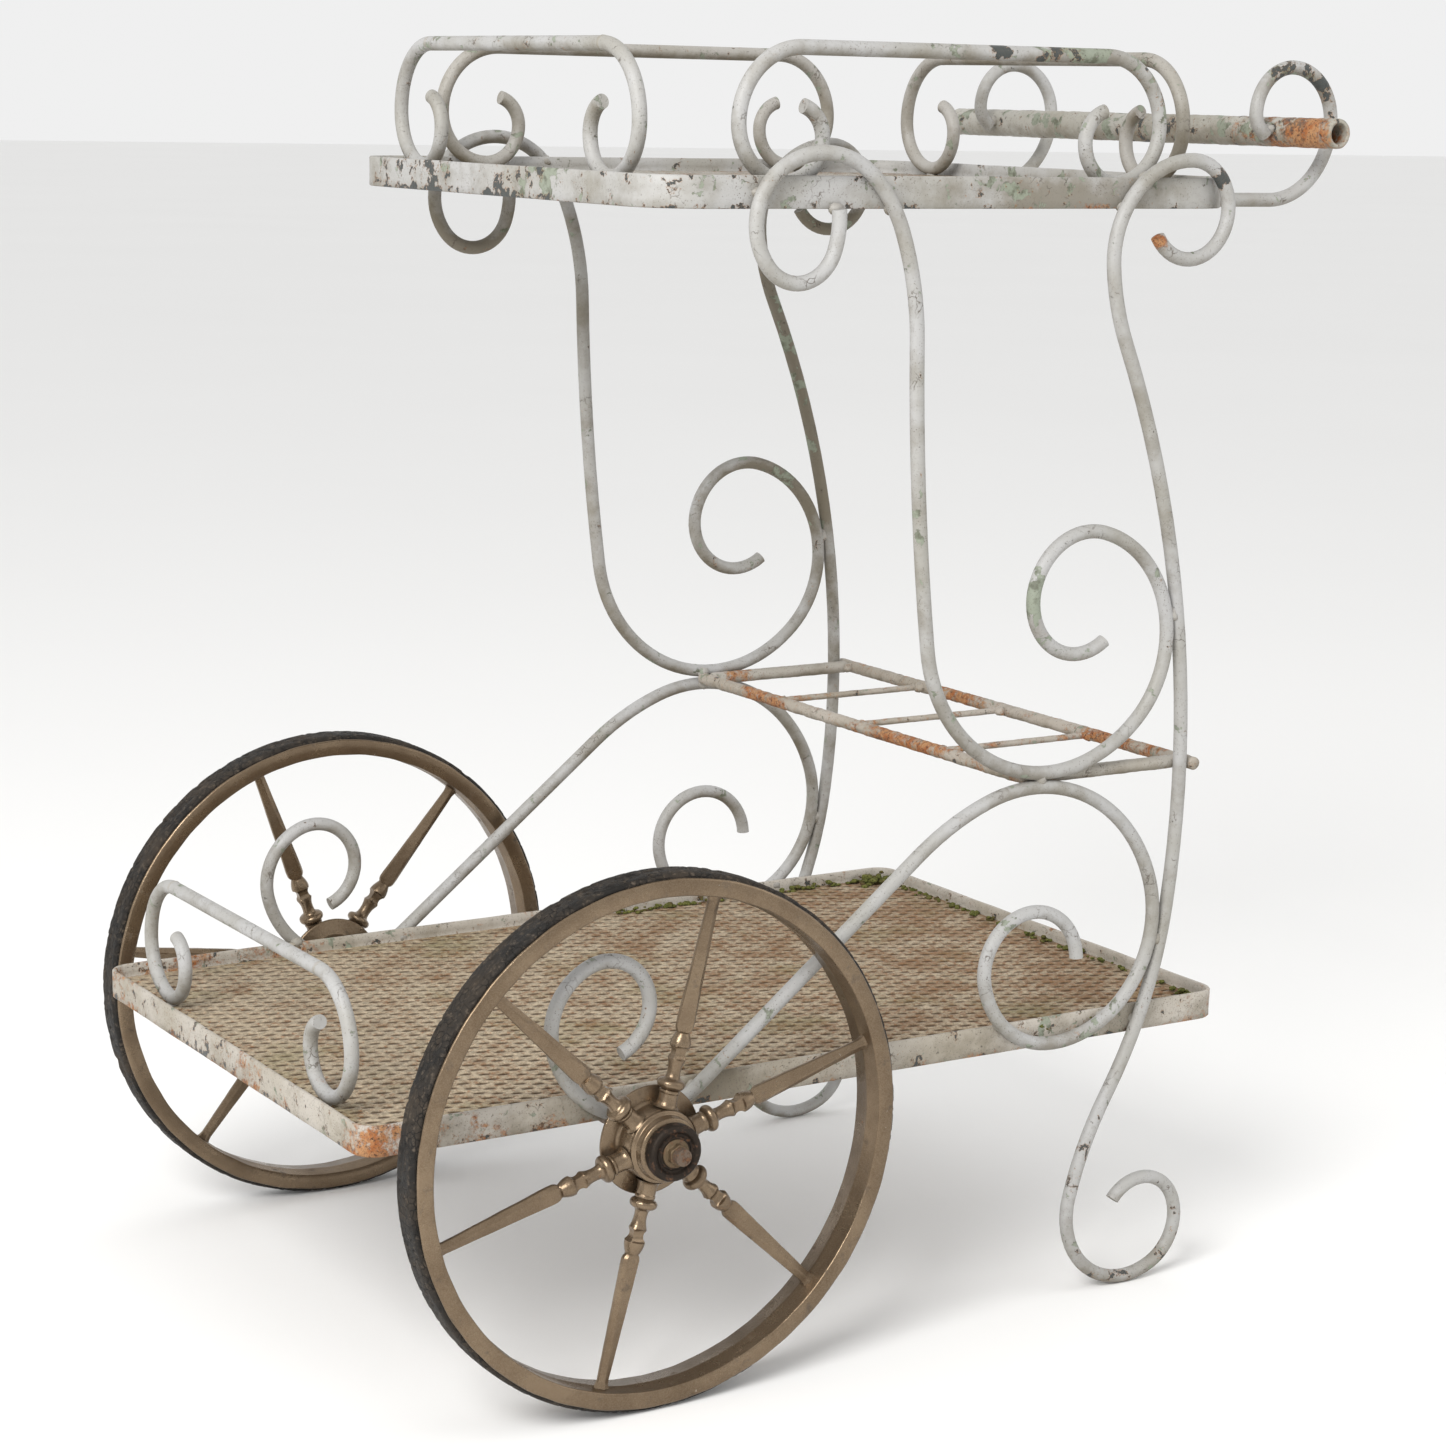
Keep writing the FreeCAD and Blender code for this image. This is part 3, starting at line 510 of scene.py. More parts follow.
def lumpy_bar(start, end, radius, lump, seed, bore=0.0, step=0.0025, around=20):
    """Points and faces of a pitted round bar or tube between two points."""
    start, end = Vector(start), Vector(end)
    along = (end - start).normalized()
    side = along.orthogonal().normalized()
    other = along.cross(side)
    length = (end - start).length
    count = max(4, int(length / step))
    stations = [(0.0, 0.86), (0.0008, 0.97)]
    stations += [(0.002 + (length - 0.004) * k / count, 1.0) for k in range(count + 1)]
    stations += [(length - 0.0008, 0.97), (length, 0.86)]
    points, faces, rings = [], [], []
    for distance, share in stations:
        ring = []
        for k in range(around):
            angle = 2 * math.pi * k / around
            out = side * math.cos(angle) + other * math.sin(angle)
            base = start + along * distance
            probe = base + out * radius
            bump = noise.noise(probe * 140 + Vector((seed, 0, 0))) * lump
            bump += noise.noise(probe * 420 + Vector((0, seed, 0))) * lump * 0.5
            pit = noise.noise(probe * 260 + Vector((0, 0, seed)))
            bump -= max(0.0, pit - 0.25) * lump * 1.6
            ring.append(len(points))
            points.append(base + out * (radius * share + min(bump, lump)))
        rings.append(ring)
    if bore:
        for distance, share in reversed(stations):
            ring = []
            for k in range(around):
                angle = 2 * math.pi * k / around
                out = side * math.cos(angle) + other * math.sin(angle)
                flare = 1.06 if share < 0.9 else 1.0
                ring.append(len(points))
                points.append(start + along * distance + out * bore * flare)
            rings.append(ring)
        rings.append(rings[0])
    for a, b in zip(rings, rings[1:]):
        for k in range(around):
            m = (k + 1) % around
            faces.append((a[k], a[m], b[m], b[k]))
    if not bore:
        faces.append(tuple(reversed(rings[0])))
        faces.append(tuple(rings[-1]))
    return points, faces


def joined(lists):
    """Puts several point and face lists together."""
    all_points, all_faces = [], []
    for points, faces in lists:
        shift = len(all_points)
        all_points += points
        all_faces += [tuple(k + shift for k in face) for face in faces]
    return all_points, all_faces


def bar_along_box(node, direction, radius, lump, seed):
    low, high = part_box(node)
    middle = (low + high) / 2
    start, end = middle.copy(), middle.copy()
    start["xyz".index(direction)] = low["xyz".index(direction)]
    end["xyz".index(direction)] = high["xyz".index(direction)]
    return lumpy_bar(start, end, radius, lump, seed)


middle_rust = old_paint(
    "middle_rust", chips=0.95, sage=0.3, rust=1.55, dirt_and_shade=0.5, specks=1.4, tone=(0.40, 0.36, 0.31),
    rusty=[((0.105, 0.120, 0.376), 0.05, 0.12), ((0.105, -0.066, 0.376), 0.08, 0.12),
           ((0.240, 0.050, 0.376), 0.05, 0.10), ((0.240, -0.130, 0.376), 0.05, 0.10)])
middle_side_paint = old_paint(
    "middle_side_paint", chips=0.6, sage=0.3, rust=0.75, dirt_and_shade=0.6, specks=1.3, tone=(0.40, 0.375, 0.335),
    rusty=[((0.135, -far_y, 0.376), 0.04, 0.04), ((0.135, far_y, 0.376), 0.04, 0.14)])
bar_radius = (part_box("middle_bar_front")[1].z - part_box("middle_bar_front")[0].z) / 2
for number, node in enumerate(("middle_bar_front", "middle_bar_back")):
    points, faces = bar_along_box(node, "y", bar_radius - 0.00015, 0.00045, 11.0 + number)
    piece_from(node + "_rusty", points, faces, middle_rust, "cart", node)
for number, node in enumerate(("middle_bar_left", "middle_bar_right")):
    points, faces = bar_along_box(node, "x", bar_radius - 0.0001, 0.00030, 17.0 + number)
    piece_from(node + "_painted", points, faces, middle_side_paint, "cart", node)
thin_low, thin_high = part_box("middle_thin_bars")
thin_radius = (thin_high.z - thin_low.z) / 2
thin_middle = (thin_low.z + thin_high.z) / 2
thin_set = []
for number, y in enumerate((thin_low.y + thin_radius, 0.0, thin_high.y - thin_radius)):
    thin_set.append(lumpy_bar((thin_low.x, y, thin_middle), (thin_high.x, y, thin_middle),
                              thin_radius - 0.00008, 0.00020, 23.0 + number, around=12))
points, faces = joined(thin_set)
piece_from("middle_thin_bars_rusty", points, faces, middle_rust, "cart",
           "middle_thin_bars")

# ------------------------------------------------------------------ handle
# A length of 20 mm water pipe welded across two support scrolls that grow out of
# the tray rim. Hands have worn it, and its open near end has rusted orange.

tube_low, tube_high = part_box("handle_tube")
tube_radius = (tube_high.z - tube_low.z) / 2
tube_centre = (tube_low + tube_high) / 2
handle_paint = old_paint(
    "handle_paint", chips=1.15, sage=1.15, rust=0.55, dirt_and_shade=0.55, specks=1.2, tone=(0.40, 0.385, 0.345),
    rusty=[((tube_centre.x - 0.006, -0.200, 0.792), 0.045, 0.20),
           ((tube_centre.x - 0.006, -0.150, 0.790), 0.05, 0.13)],
    soiled=[((tube_centre.x, -0.08, 0.79), 0.12, 0.10)],
    worn=[((tube_centre.x, -0.180, tube_high.z), 0.03, 0.14),
          ((tube_centre.x, -0.05, tube_high.z), 0.10, 0.05)])
points, faces = lumpy_bar((tube_centre.x, tube_low.y, tube_centre.z),
                          (tube_centre.x, tube_high.y, tube_centre.z),
                          tube_radius - 0.0002, 0.0004, 31.0, bore=0.007, around=36)
piece_from("handle_pipe", points, faces, handle_paint, "cart", "handle_tube")
near_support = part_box("handle_support_left")
support_paint = old_paint(
    "support_paint", chips=0.35, sage=0.5, rust=0.15, dirt_and_shade=0.45, specks=0.8,
    worn=[((0.3715, near_support[0].y, 0.830), 0.03, 0.17),
          ((0.3345, near_support[0].y, 0.8435), 0.03, 0.11)],
    mossy=[((0.345, near_support[0].y, 0.843), 0.05, 0.12)],
    soiled=[((0.345, near_support[0].y, 0.843), 0.06, 0.14)])
paint_parts(support_paint, ["handle_support_left", "handle_support_right"])

# ------------------------------------------------------------------ axle and collars
# Plain 11 mm steel rod pushed through both hubs, with a turned collar inside
# each one. Never painted, so it is dark brown with old grease and rust.


def bare_iron(name, tone, rust_share, roughness=0.6):
    """Unpainted iron, brown with rust and rubbed bright in places."""
    finish = Finish(name)
    scab = finish.patches(210.0, 8.0, 0.7)
    rust_tone = finish.coat((0.155, 0.068, 0.028), (0.055, 0.030, 0.018),
                            finish.between(finish.patches(600.0, 4.0, 0.6), 0.4, 0.6))
    rusted = finish.between(scab, 0.62 - 0.25 * rust_share, 0.70 - 0.18 * rust_share)
    colour = finish.coat(tone, rust_tone, rusted)
    metal = finish.work("SUBTRACT", 0.75, finish.times(rusted, 0.65))
    height = finish.patches(700.0, 6.0, 0.7)
    return finish.dress(colour, finish.between(rusted, 0.0, 1.0, roughness, 0.9), height, 0.0004,
                        metallic=metal)


axle_iron = bare_iron("axle_iron", (0.16, 0.12, 0.09), 0.6)
paint_parts(axle_iron, ["axle", "axle_collars"])

# ------------------------------------------------------------------ hubs
# Cast hub with a stepped barrel and nose and a round back plate that backs the
# spoke roots, in bronze metal paint, with one dimpled rusty iron rivet through the plate.


def bronze_paint(name, dull):
    """Bronze metallic paint with bright worn spots, dark grime and rust in scattered patches."""
    finish = Finish(name)
    broad = finish.patches(26.0, 6.0, 0.62)
    colour = finish.coat((0.190, 0.134, 0.083), (0.124, 0.082, 0.047), finish.between(broad, 0.38, 0.64))
    grain = finish.between(finish.patches(1500.0, 3.0, 0.6), 0.30, 0.72)
    colour = finish.coat(colour, (0.36, 0.29, 0.21), finish.times(grain, 0.36))
    grime_field = finish.patches(75.0, 9.0, 0.68)
    grime = finish.between(grime_field, 0.60 - 0.05 * dull, 0.70)
    colour = finish.coat(colour, (0.050, 0.034, 0.020), finish.times(grime, 0.75))
    chip = finish.between(finish.patches(190.0, 9.0, 0.7), 0.690, 0.700)
    colour = finish.coat(colour, (0.45, 0.40, 0.34), chip)
    rust = finish.between(finish.patches(150.0, 8.0, 0.7, 0.3), 0.690, 0.735)
    colour = finish.coat(colour, (0.30, 0.11, 0.035), finish.times(rust, 0.8))
    rough = finish.between(broad, 0.35, 0.65, 0.22, 0.36)
    rough = finish.plus(rough, finish.times(finish.work("MAXIMUM", grime, rust), 0.30))
    metal = finish.work("SUBTRACT", 0.80, finish.times(finish.work("MAXIMUM", grime, rust), 0.7))
    height = finish.plus(finish.times(finish.patches(330.0, 5.0, 0.6), 0.5),
                         finish.times(finish.work("MAXIMUM", chip, grime), -0.25))
    return finish.dress(colour, rough, height, 0.0005, metallic=metal)


def turned(profile, centre, sign, around, wobble=0.0, seed=0.0, closed=True):
    """Spins (radius, distance out) pairs in mm about the axle line."""
    points, faces = [], []
    count = len(profile)
    for k in range(around):
        angle = 2 * math.pi * k / around
        out = Vector((math.cos(angle), 0.0, math.sin(angle)))
        for radius, distance in profile:
            spot = Vector((centre.x, sign * distance / 1000, centre.z)) + out * radius / 1000
            if wobble:
                spot = spot + out * noise.noise(spot * 60 + Vector((seed, 0, 0))) * wobble
            points.append(spot)
    for k in range(around):
        m = (k + 1) % around
        for side in range(count if closed else count - 1):
            beside = (side + 1) % count
            quad = (k * count + side, m * count + side, m * count + beside, k * count + beside)
            faces.append(quad if sign > 0 else tuple(reversed(quad)))
    return points, faces


bronze = bronze_paint("wheel_bronze", 0.3)
rivet_iron = bare_iron("rivet_iron", (0.22, 0.13, 0.07), 0.9, 0.7)
wheel_sides = (("left", -1, 16.0), ("right", 1, 50.0))
wheel_centre = {}
for side, sign, turn in wheel_sides:
    joint = [j for j in frame["joints"] if j["name"] == "wheel_" + side + "_spin"][0]
    centre = Vector(joint["pos_m"])
    wheel_centre[side] = centre
    low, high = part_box("wheel_hub_" + side)
    inner = min(abs(low.y), abs(high.y)) * 1000
    hub_profile = [(5.6, 0.0), (22.6, 0.0), (23.7, 0.5), (24.0, 1.4), (24.0, 6.2), (25.0, 7.0), (34.8, 7.0),
                   (35.8, 7.5), (36.0, 8.5), (35.8, 9.5), (35.0, 10.0), (26.6, 10.0), (25.2, 10.3),
                   (24.3, 11.2),
                   (24.0, 12.4), (24.0, 22.6), (23.6, 23.4), (23.1, 23.9), (23.1, 24.5), (23.7, 25.0),
                   (23.9, 26.0),
                   (23.4, 26.8), (22.4, 27.1), (21.4, 27.4), (21.0, 28.0), (21.0, 30.4), (20.5, 30.9),
                   (20.5, 31.4),
                   (21.0, 32.0), (20.8, 33.2), (20.0, 33.9), (14.0, 34.0), (5.6, 34.0)]
    points, faces = turned([(r, inner + d) for r, d in hub_profile], centre, sign, 96)
    piece_from("hub_" + side, points, faces, bronze, "wheel_" + side, "wheel_hub_" + side)
    angle = math.radians(turn - 30.0)
    rivet_spot = Vector((centre.x + 0.030 * math.cos(angle), 0.0, centre.z + 0.030 * math.sin(angle)))
    rivet_profile = [(0.0, inner + 9.8), (3.9, inner + 9.8), (4.0, inner + 10.6), (3.7, inner + 11.4),
                     (3.0, inner + 11.9), (2.2, inner + 11.9), (1.2, inner + 11.4), (0.0, inner + 11.2)]
    points, faces = turned([(max(r, 0.02), d) for r, d in rivet_profile], rivet_spot, sign, 24)
    piece_from("hub_rivet_" + side, points, faces, rivet_iron, "wheel_" + side)

# ------------------------------------------------------------------ spokes
# Six cast spokes to a wheel: socket, round bead, neck and carved knuckle turned
# like a chair leg, then a flat blade that tapers to its rivet in the channel.


def spoke_form():
    """Turned root of a spoke: (distance from the barrel, radius, room left by the carving)."""
    root = [(0.0, 8.6), (0.7, 7.5), (1.8, 6.7), (4.0, 6.3), (8.8, 6.1), (9.5, 6.5), (10.3, 6.7),
            (11.1, 6.5),
            (11.6, 5.8), (12.0, 6.5), (12.6, 7.7), (13.4, 8.5), (14.4, 8.95), (15.4, 9.0), (16.4, 8.8),
            (17.3, 8.2),
            (18.0, 7.2), (18.5, 5.9), (19.2, 5.0), (20.5, 4.4), (23.0, 4.15), (26.0, 4.3), (28.0, 4.7),
            (29.6, 5.2),
            (31.0, 5.7), (31.6, 5.9), (32.4, 6.0), (33.6, 6.2), (34.8, 6.4), (36.0, 6.5), (37.2, 6.6),
            (38.6, 6.6),
            (39.6, 6.6), (40.2, 6.6), (41.6, 6.55), (43.2, 6.3), (45.0, 5.8), (46.6, 5.2), (47.8, 4.7),
            (48.4, 4.4)]
    form = []
    for distance, radius in root:
        room = 20.0
        if 31.2 < distance < 40.0:
            bite = 1.0 - ((distance - 35.6) / 4.4) ** 2
            room = 5.6 - 2.9 * math.sqrt(max(bite, 0.0))
        form.append((distance, radius, room))
    return form


def spoke_blade(length):
    """Flat blade: (distance, half width, half thickness, where its ridge stands across it)."""
    blade = [(48.9, 4.6, 3.1, -0.5), (50.2, 5.6, 3.3, -0.66), (52.0, 6.2, 3.4, -0.72),
             (56.0, 6.3, 3.4, -0.66)]
    for k in range(1, 11):
        share = k / 11.0
        blade.append((56.0 + (length - 63.0) * share, 6.3 - 2.5 * share, 3.4 - 0.5 * share,
                      -0.66 + 0.66 * share))
    return blade + [(length - 5.0, 3.8, 2.9, 0.0), (length - 2.0, 4.3, 3.3, 0.0), (length, 5.4, 4.3, 0.0)]


def blade_edge(angle, width, thickness, ridge):
    """Outline of the blade in one direction: two facets each side meeting on a ridge."""
    corners = [(width, 0.42 * thickness), (ridge * width, thickness), (-width, 0.42 * thickness),
               (-width, -0.42 * thickness), (ridge * width, -thickness), (width, -0.42 * thickness)]
    run, rise = math.cos(angle) * width, math.sin(angle) * thickness
    for (ax, ay), (bx, by) in zip(corners, corners[1:] + corners[:1]):
        across = run * (by - ay) - rise * (bx - ax)
        if abs(across) < 1e-12:
            continue
        reach = (ax * (by - ay) - ay * (bx - ax)) / across
        share = (ax * rise - ay * run) / across
        if reach > 0 and -1e-9 <= share <= 1 + 1e-9:
            return run * reach, rise * reach
    return run, rise


for side, sign, turn in wheel_sides:
    centre = wheel_centre[side]
    low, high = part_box("wheel_hub_" + side)
    inner = min(abs(low.y), abs(high.y)) * 1000
    barrel, tip = 24.0, 161.45
    root = Vector((centre.x, sign * (inner + 18.0) / 1000, centre.z))
    around = 36
    whole = []
    for number in range(6):
        bearing = math.radians(turn + 60.0 * number)
        radial = Vector((math.cos(bearing), 0.0, math.sin(bearing)))
        tangent = Vector((-math.sin(bearing), 0.0, math.cos(bearing)))
        points, faces = [], []
        stations = [(*ring, None) for ring in spoke_form()] + spoke_blade(tip - barrel)
        for distance, wide, deep, ridge in stations:
            for k in range(around):
                angle = 2 * math.pi * (k + 0.5) / around
                if ridge is None:
                    across, out = wide * math.cos(angle), wide * math.sin(angle)
                    across = max(-deep - 1.0, min(deep + 1.0, across))
                    out = max(-deep, min(deep, out))
                else:
                    across, out = blade_edge(angle, wide, deep, ridge)
                spot = (root + radial * (barrel + distance) / 1000
                        + tangent * across / 1000 + Vector((0.0, sign * out / 1000, 0.0)))
                points.append(spot + tangent * noise.noise(spot * 90) * 0.00025)
        for ring in range(len(stations) - 1):
            for k in range(around):
                m = (k + 1) % around
                faces.append((ring * around + k, ring * around + m,
                              (ring + 1) * around + m, (ring + 1) * around + k))
        faces.append(tuple(reversed(range(around))))
        faces.append(tuple((len(stations) - 1) * around + k for k in range(around)))
        whole.append((points, faces))
    points, faces = joined(whole)
    spokes = piece_from("spokes_" + side, points, faces, bronze, "wheel_" + side,
                        "wheel_spokes_" + side)
    spokes.data.set_sharp_from_angle(angle=math.radians(28))

# ------------------------------------------------------------------ wheel channels
# Steel channel rolled to a hoop with its open side out, edges rounded over and a
# faint rolled ridge round the bore, in the same bronze paint as the hubs.

for side, sign, turn in wheel_sides:
    centre = wheel_centre[side]
    low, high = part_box("wheel_channel_" + side)
    near, far = sorted((abs(low.y) * 1000, abs(high.y) * 1000))
    wide = far - near
    section = [(162.0, 0.0), (161.6, 0.6), (161.6, wide * 0.40), (160.8, wide * 0.46), (160.8, wide * 0.54),
               (161.6, wide * 0.60), (161.6, wide - 1.2), (161.9, wide - 0.4), (162.6, wide),
               (166.0, wide + 0.1),
               (171.6, wide), (172.6, wide - 0.4), (173.0, wide - 1.2), (172.7, wide - 2.1),
               (172.0, wide - 2.4),
               (164.0, wide - 2.4), (164.0, 2.4), (172.0, 2.4), (172.8, 1.9), (173.0, 1.2), (172.6, 0.4),
               (171.6, 0.0)]
    points, faces = turned([(r, near + d) for r, d in section], centre, sign, 200,
                           wobble=0.0005, seed=5.0 + sign)
    piece_from("wheel_hoop_" + side, points, faces, bronze, "wheel_" + side,
               "wheel_channel_" + side)

# ------------------------------------------------------------------ tyres
# Solid rubber bands pressed into the channels, black once, now hard, cracked
# across the tread and grey-brown with dust.


def dry_rubber():
    """Perished black rubber, dusty in patches and crazed with dark cracks."""
    finish = Finish("dry_rubber")
    broad = finish.patches(30.0, 7.0, 0.65)
    colour = finish.coat((0.010, 0.0085, 0.007), (0.042, 0.032, 0.023), finish.between(broad, 0.42, 0.68))
    dust = finish.between(finish.patches(240.0, 8.0, 0.72), 0.54, 0.68)
    colour = finish.coat(colour, (0.140, 0.110, 0.082), finish.times(dust, 0.55))
    crack = finish.between(finish.cells(190.0, True), 0.055, 0.02)
    crack = finish.times(crack, finish.between(finish.patches(40.0, 4.0), 0.42, 0.55))
    colour = finish.coat(colour, (0.010, 0.009, 0.008), finish.times(crack, 0.85))
    height = finish.plus(finish.times(finish.patches(420.0, 6.0, 0.7), 0.7),
                         finish.times(crack, -0.8))
    return finish.dress(colour, finish.between(broad, 0.4, 0.7, 0.55, 0.80), height, 0.0009, gloss=0.25)


rubber = dry_rubber()
for side, sign, turn in wheel_sides:
    centre = wheel_centre[side]
    low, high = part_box("wheel_tyre_" + side)
    near, far = sorted((abs(low.y) * 1000, abs(high.y) * 1000))
    wide = far - near
    outer = (high.z - low.z) * 500
    section = [(outer - 11.8, 0.2), (outer - 3.4, 0.0), (outer - 1.9, 0.25), (outer - 0.9, 0.9),
               (outer - 0.25, 2.2),
               (outer, 4.0)]
    tread = [(outer, 4.0 + (wide - 8.0) * k / 9.0) for k in range(1, 9)]
    section = section + tread + [(outer, wide - 4.0), (outer - 0.25, wide - 2.2), (outer - 0.9, wide - 0.9),
                                 (outer - 1.9, wide - 0.25), (outer - 3.4, wide),
                                 (outer - 11.8, wide - 0.2)]
    points, faces = turned([(r, near + d) for r, d in section], centre, sign, 540)
    count = len(section)
    for index, spot in enumerate(points):
        if 1 < index % count < count - 2:
            out = Vector((spot.x - centre.x, 0.0, spot.z - centre.z)).normalized()
            around_angle = math.atan2(out.z, out.x)
            rib = noise.noise(Vector((around_angle * 9, spot.y * 900, 2.0 * sign)))
            split = noise.noise(Vector((around_angle * 50, spot.y * 240, 9.0 + sign)))
            lost = noise.noise(Vector((around_angle * 14, spot.y * 60, 4.0 + sign)))
            cut = -0.0022 * max(0.0, split - 0.16) - 0.0007 * max(0.0, rib) - 0.0018 * max(0.0, lost - 0.24)
            points[index] = spot + out * cut
    piece_from("tyre_" + side, points, faces, rubber, "wheel_" + side, "wheel_tyre_" + side)

# ------------------------------------------------------------------ end caps and nuts
# Cupped iron caps on the axle ends, black with rust, and a nut run up on each
# over a thin washer, with the burred end of the axle standing out of it.

cap_iron = bare_iron("cap_iron", (0.026, 0.019, 0.014), 0.35, 0.50)
nut_iron = bare_iron("nut_iron", (0.135, 0.095, 0.055), 0.45, 0.45)
cap_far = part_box("axle_end_caps")[1].y * 1000
nut_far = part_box("axle_nuts")[1].y * 1000
axle_centre = wheel_centre["left"]
cap_set = []
nut_set = []
for sign in (-1, 1):
    spun = [(5.7, cap_far - 8.0), (17.4, cap_far - 8.0), (18.3, cap_far - 7.4), (18.5, cap_far - 6.4),
            (18.5, cap_far - 2.4), (18.1, cap_far - 1.0), (17.2, cap_far - 0.2), (16.2, cap_far),
            (14.6, cap_far - 0.2), (13.6, cap_far - 0.9), (13.0, cap_far - 2.2), (12.2, cap_far - 2.7),
            (11.0, cap_far - 2.7), (10.6, cap_far - 1.9), (9.9, cap_far - 1.6), (8.9, cap_far - 1.9),
            (5.7, cap_far - 2.3)]
    cap_set.append(turned(spun, axle_centre, sign, 72, wobble=0.0004, seed=sign * 3.0))
    points, faces = [], []
    levels = [(0.0, 9.0, 9.0), (0.1, 9.3, 9.3), (1.2, 9.4, 9.4), (1.6, 9.0, 9.0), (1.7, 6.9, 7.0),
              (2.0, 6.4, 7.0),
              (5.2, 6.4, 7.0), (5.7, 6.3, 6.6), (5.95, 5.6, 5.7)]
    nut_face = sign * (nut_far - 6.0)
    rings = []
    for up, half_flat, limit in levels:
        ring = []
        for k in range(48):
            angle = 2 * math.pi * k / 48
            flat = (half_flat / math.cos((angle + math.pi / 6) % (math.pi / 3) - math.pi / 6))
            radius = min(flat, limit) / 1000
            spot = Vector((axle_centre.x + radius * math.cos(angle), (nut_face + sign * up) / 1000,
                           axle_centre.z + radius * math.sin(angle)))
            ring.append(len(points))
            points.append(spot + Vector((0, 1, 0)) * noise.noise(spot * 300) * 0.0002)
        rings.append(ring)
    axle_end = ((5.9, 4.9), (6.0, 4.6), (6.8, 4.5), (7.2, 4.0))
    for up, radius in axle_end:
        ring = []
        for k in range(48):
            angle = 2 * math.pi * k / 48
            ring.append(len(points))
            points.append(Vector((axle_centre.x + radius * math.cos(angle) / 1000,
                                  (nut_face + sign * up) / 1000,
                                  axle_centre.z + radius * math.sin(angle) / 1000)))
        rings.append(ring)
    for a, b in zip(rings, rings[1:]):
        for k in range(48):
            m = (k + 1) % 48
            faces.append((a[k], a[m], b[m], b[k]))
    faces.append(tuple(reversed(rings[0])))
    faces.append(tuple(rings[-1]))
    nut_set.append((points, faces))
points, faces = joined(cap_set)
piece_from("axle_end_cups", points, faces, cap_iron, "cart", "axle_end_caps")
points, faces = joined(nut_set)
piece_from("axle_end_nuts", points, faces, nut_iron, "cart", "axle_nuts")

# ------------------------------------------------------------------ welds
# Stick welds where bars touch: a short lumpy bead laid in the groove between
# them and painted over, so it shows as a soft swelling with a ragged edge.


def meeting_places(first, second, reach, spacing):
    """Where two CAD parts come nearest, one place for each contact."""
    found = []
    for a, b in ((first, second), (second, first)):
        tree = BVHTree.FromPolygons([v.co for v in cad_parts[b].data.vertices],
                                    [tuple(p.vertices) for p in cad_parts[b].data.polygons])
        for vertex in cad_parts[a].data.vertices:
            hit = tree.find_nearest(vertex.co, reach)
            if hit[0] is not None:
                found.append((hit[3], (vertex.co + hit[0]) / 2))
    found.sort(key=lambda item: item[0])
    kept = []
    for _, spot in found:
        if all((spot - other).length > spacing for other in kept):
            kept.append(spot)
    return kept


def weld_bead(spot, size, seed, shape):
    """A lumpy closed bead of metal."""
    points, faces = [], []
    rows, around = 8, 14
    for row in range(rows + 1):
        tall = math.pi * row / rows
        for k in range(around):
            angle = 2 * math.pi * k / around
            out = Vector((math.sin(tall) * math.cos(angle), math.sin(tall) * math.sin(angle),
                          math.cos(tall)))
            lump = (1.0 + 0.32 * noise.noise(out * 1.7 + Vector((seed, seed * 0.3, 0)))
                    + 0.14 * noise.noise(out * 4.5 + Vector((0, seed, 0))))
            points.append(spot + out * Vector(shape) * size * lump)
    for row in range(rows):
        for k in range(around):
            m = (k + 1) % around
            faces.append((row * around + k, (row + 1) * around + k,
                          (row + 1) * around + m, row * around + m))
    return points, faces


weld_set = []
seed = 0.0
for side in ("left", "right"):
    for first, second in (("leg_scroll_", "brace_scroll_"), ("leg_scroll_", "tray_scroll_"),
                          ("brace_scroll_", "tray_scroll_")):
        for spot in meeting_places(first + side, second + side, 0.0012, 0.03):
            seed += 1.7
            weld_set.append(weld_bead(spot, 0.0042, seed, (1.0, 1.0, 1.25)))
    for first, second in (("leg_scroll_", "tray_rim"), ("leg_scroll_", "shelf_rim"),
                          ("brace_scroll_", "shelf_rim"),
                          ("tray_scroll_", "tray_rim"), ("gallery_rail_", "tray_deck"),
                          ("handle_support_", "tray_rim"),
                          ("handle_support_", "handle_tube"), ("leg_scroll_", "middle_bar_back"),
                          ("brace_scroll_", "middle_bar_front"), ("tray_scroll_", "middle_bar_front"),
                          ("brace_scroll_", "axle"), ("leg_scroll_", "middle_bar_" + side),
                          ("tray_scroll_", "middle_bar_" + side), ("brace_scroll_", "middle_bar_" + side)):
        for spot in meeting_places(first + side, second, 0.0012, 0.02):
            seed += 1.7
            weld_set.append(weld_bead(spot, 0.0040, seed, (1.2, 1.0, 1.0)))
for first, second in (("gallery_rail_front", "tray_deck"), ("gallery_rail_back", "tray_deck"),
                      ("shelf_rail_front", "shelf_deck")):
    for spot in meeting_places(first, second, 0.0012, 0.02):
        seed += 1.7
        weld_set.append(weld_bead(spot, 0.0038, seed, (1.0, 1.2, 0.7)))
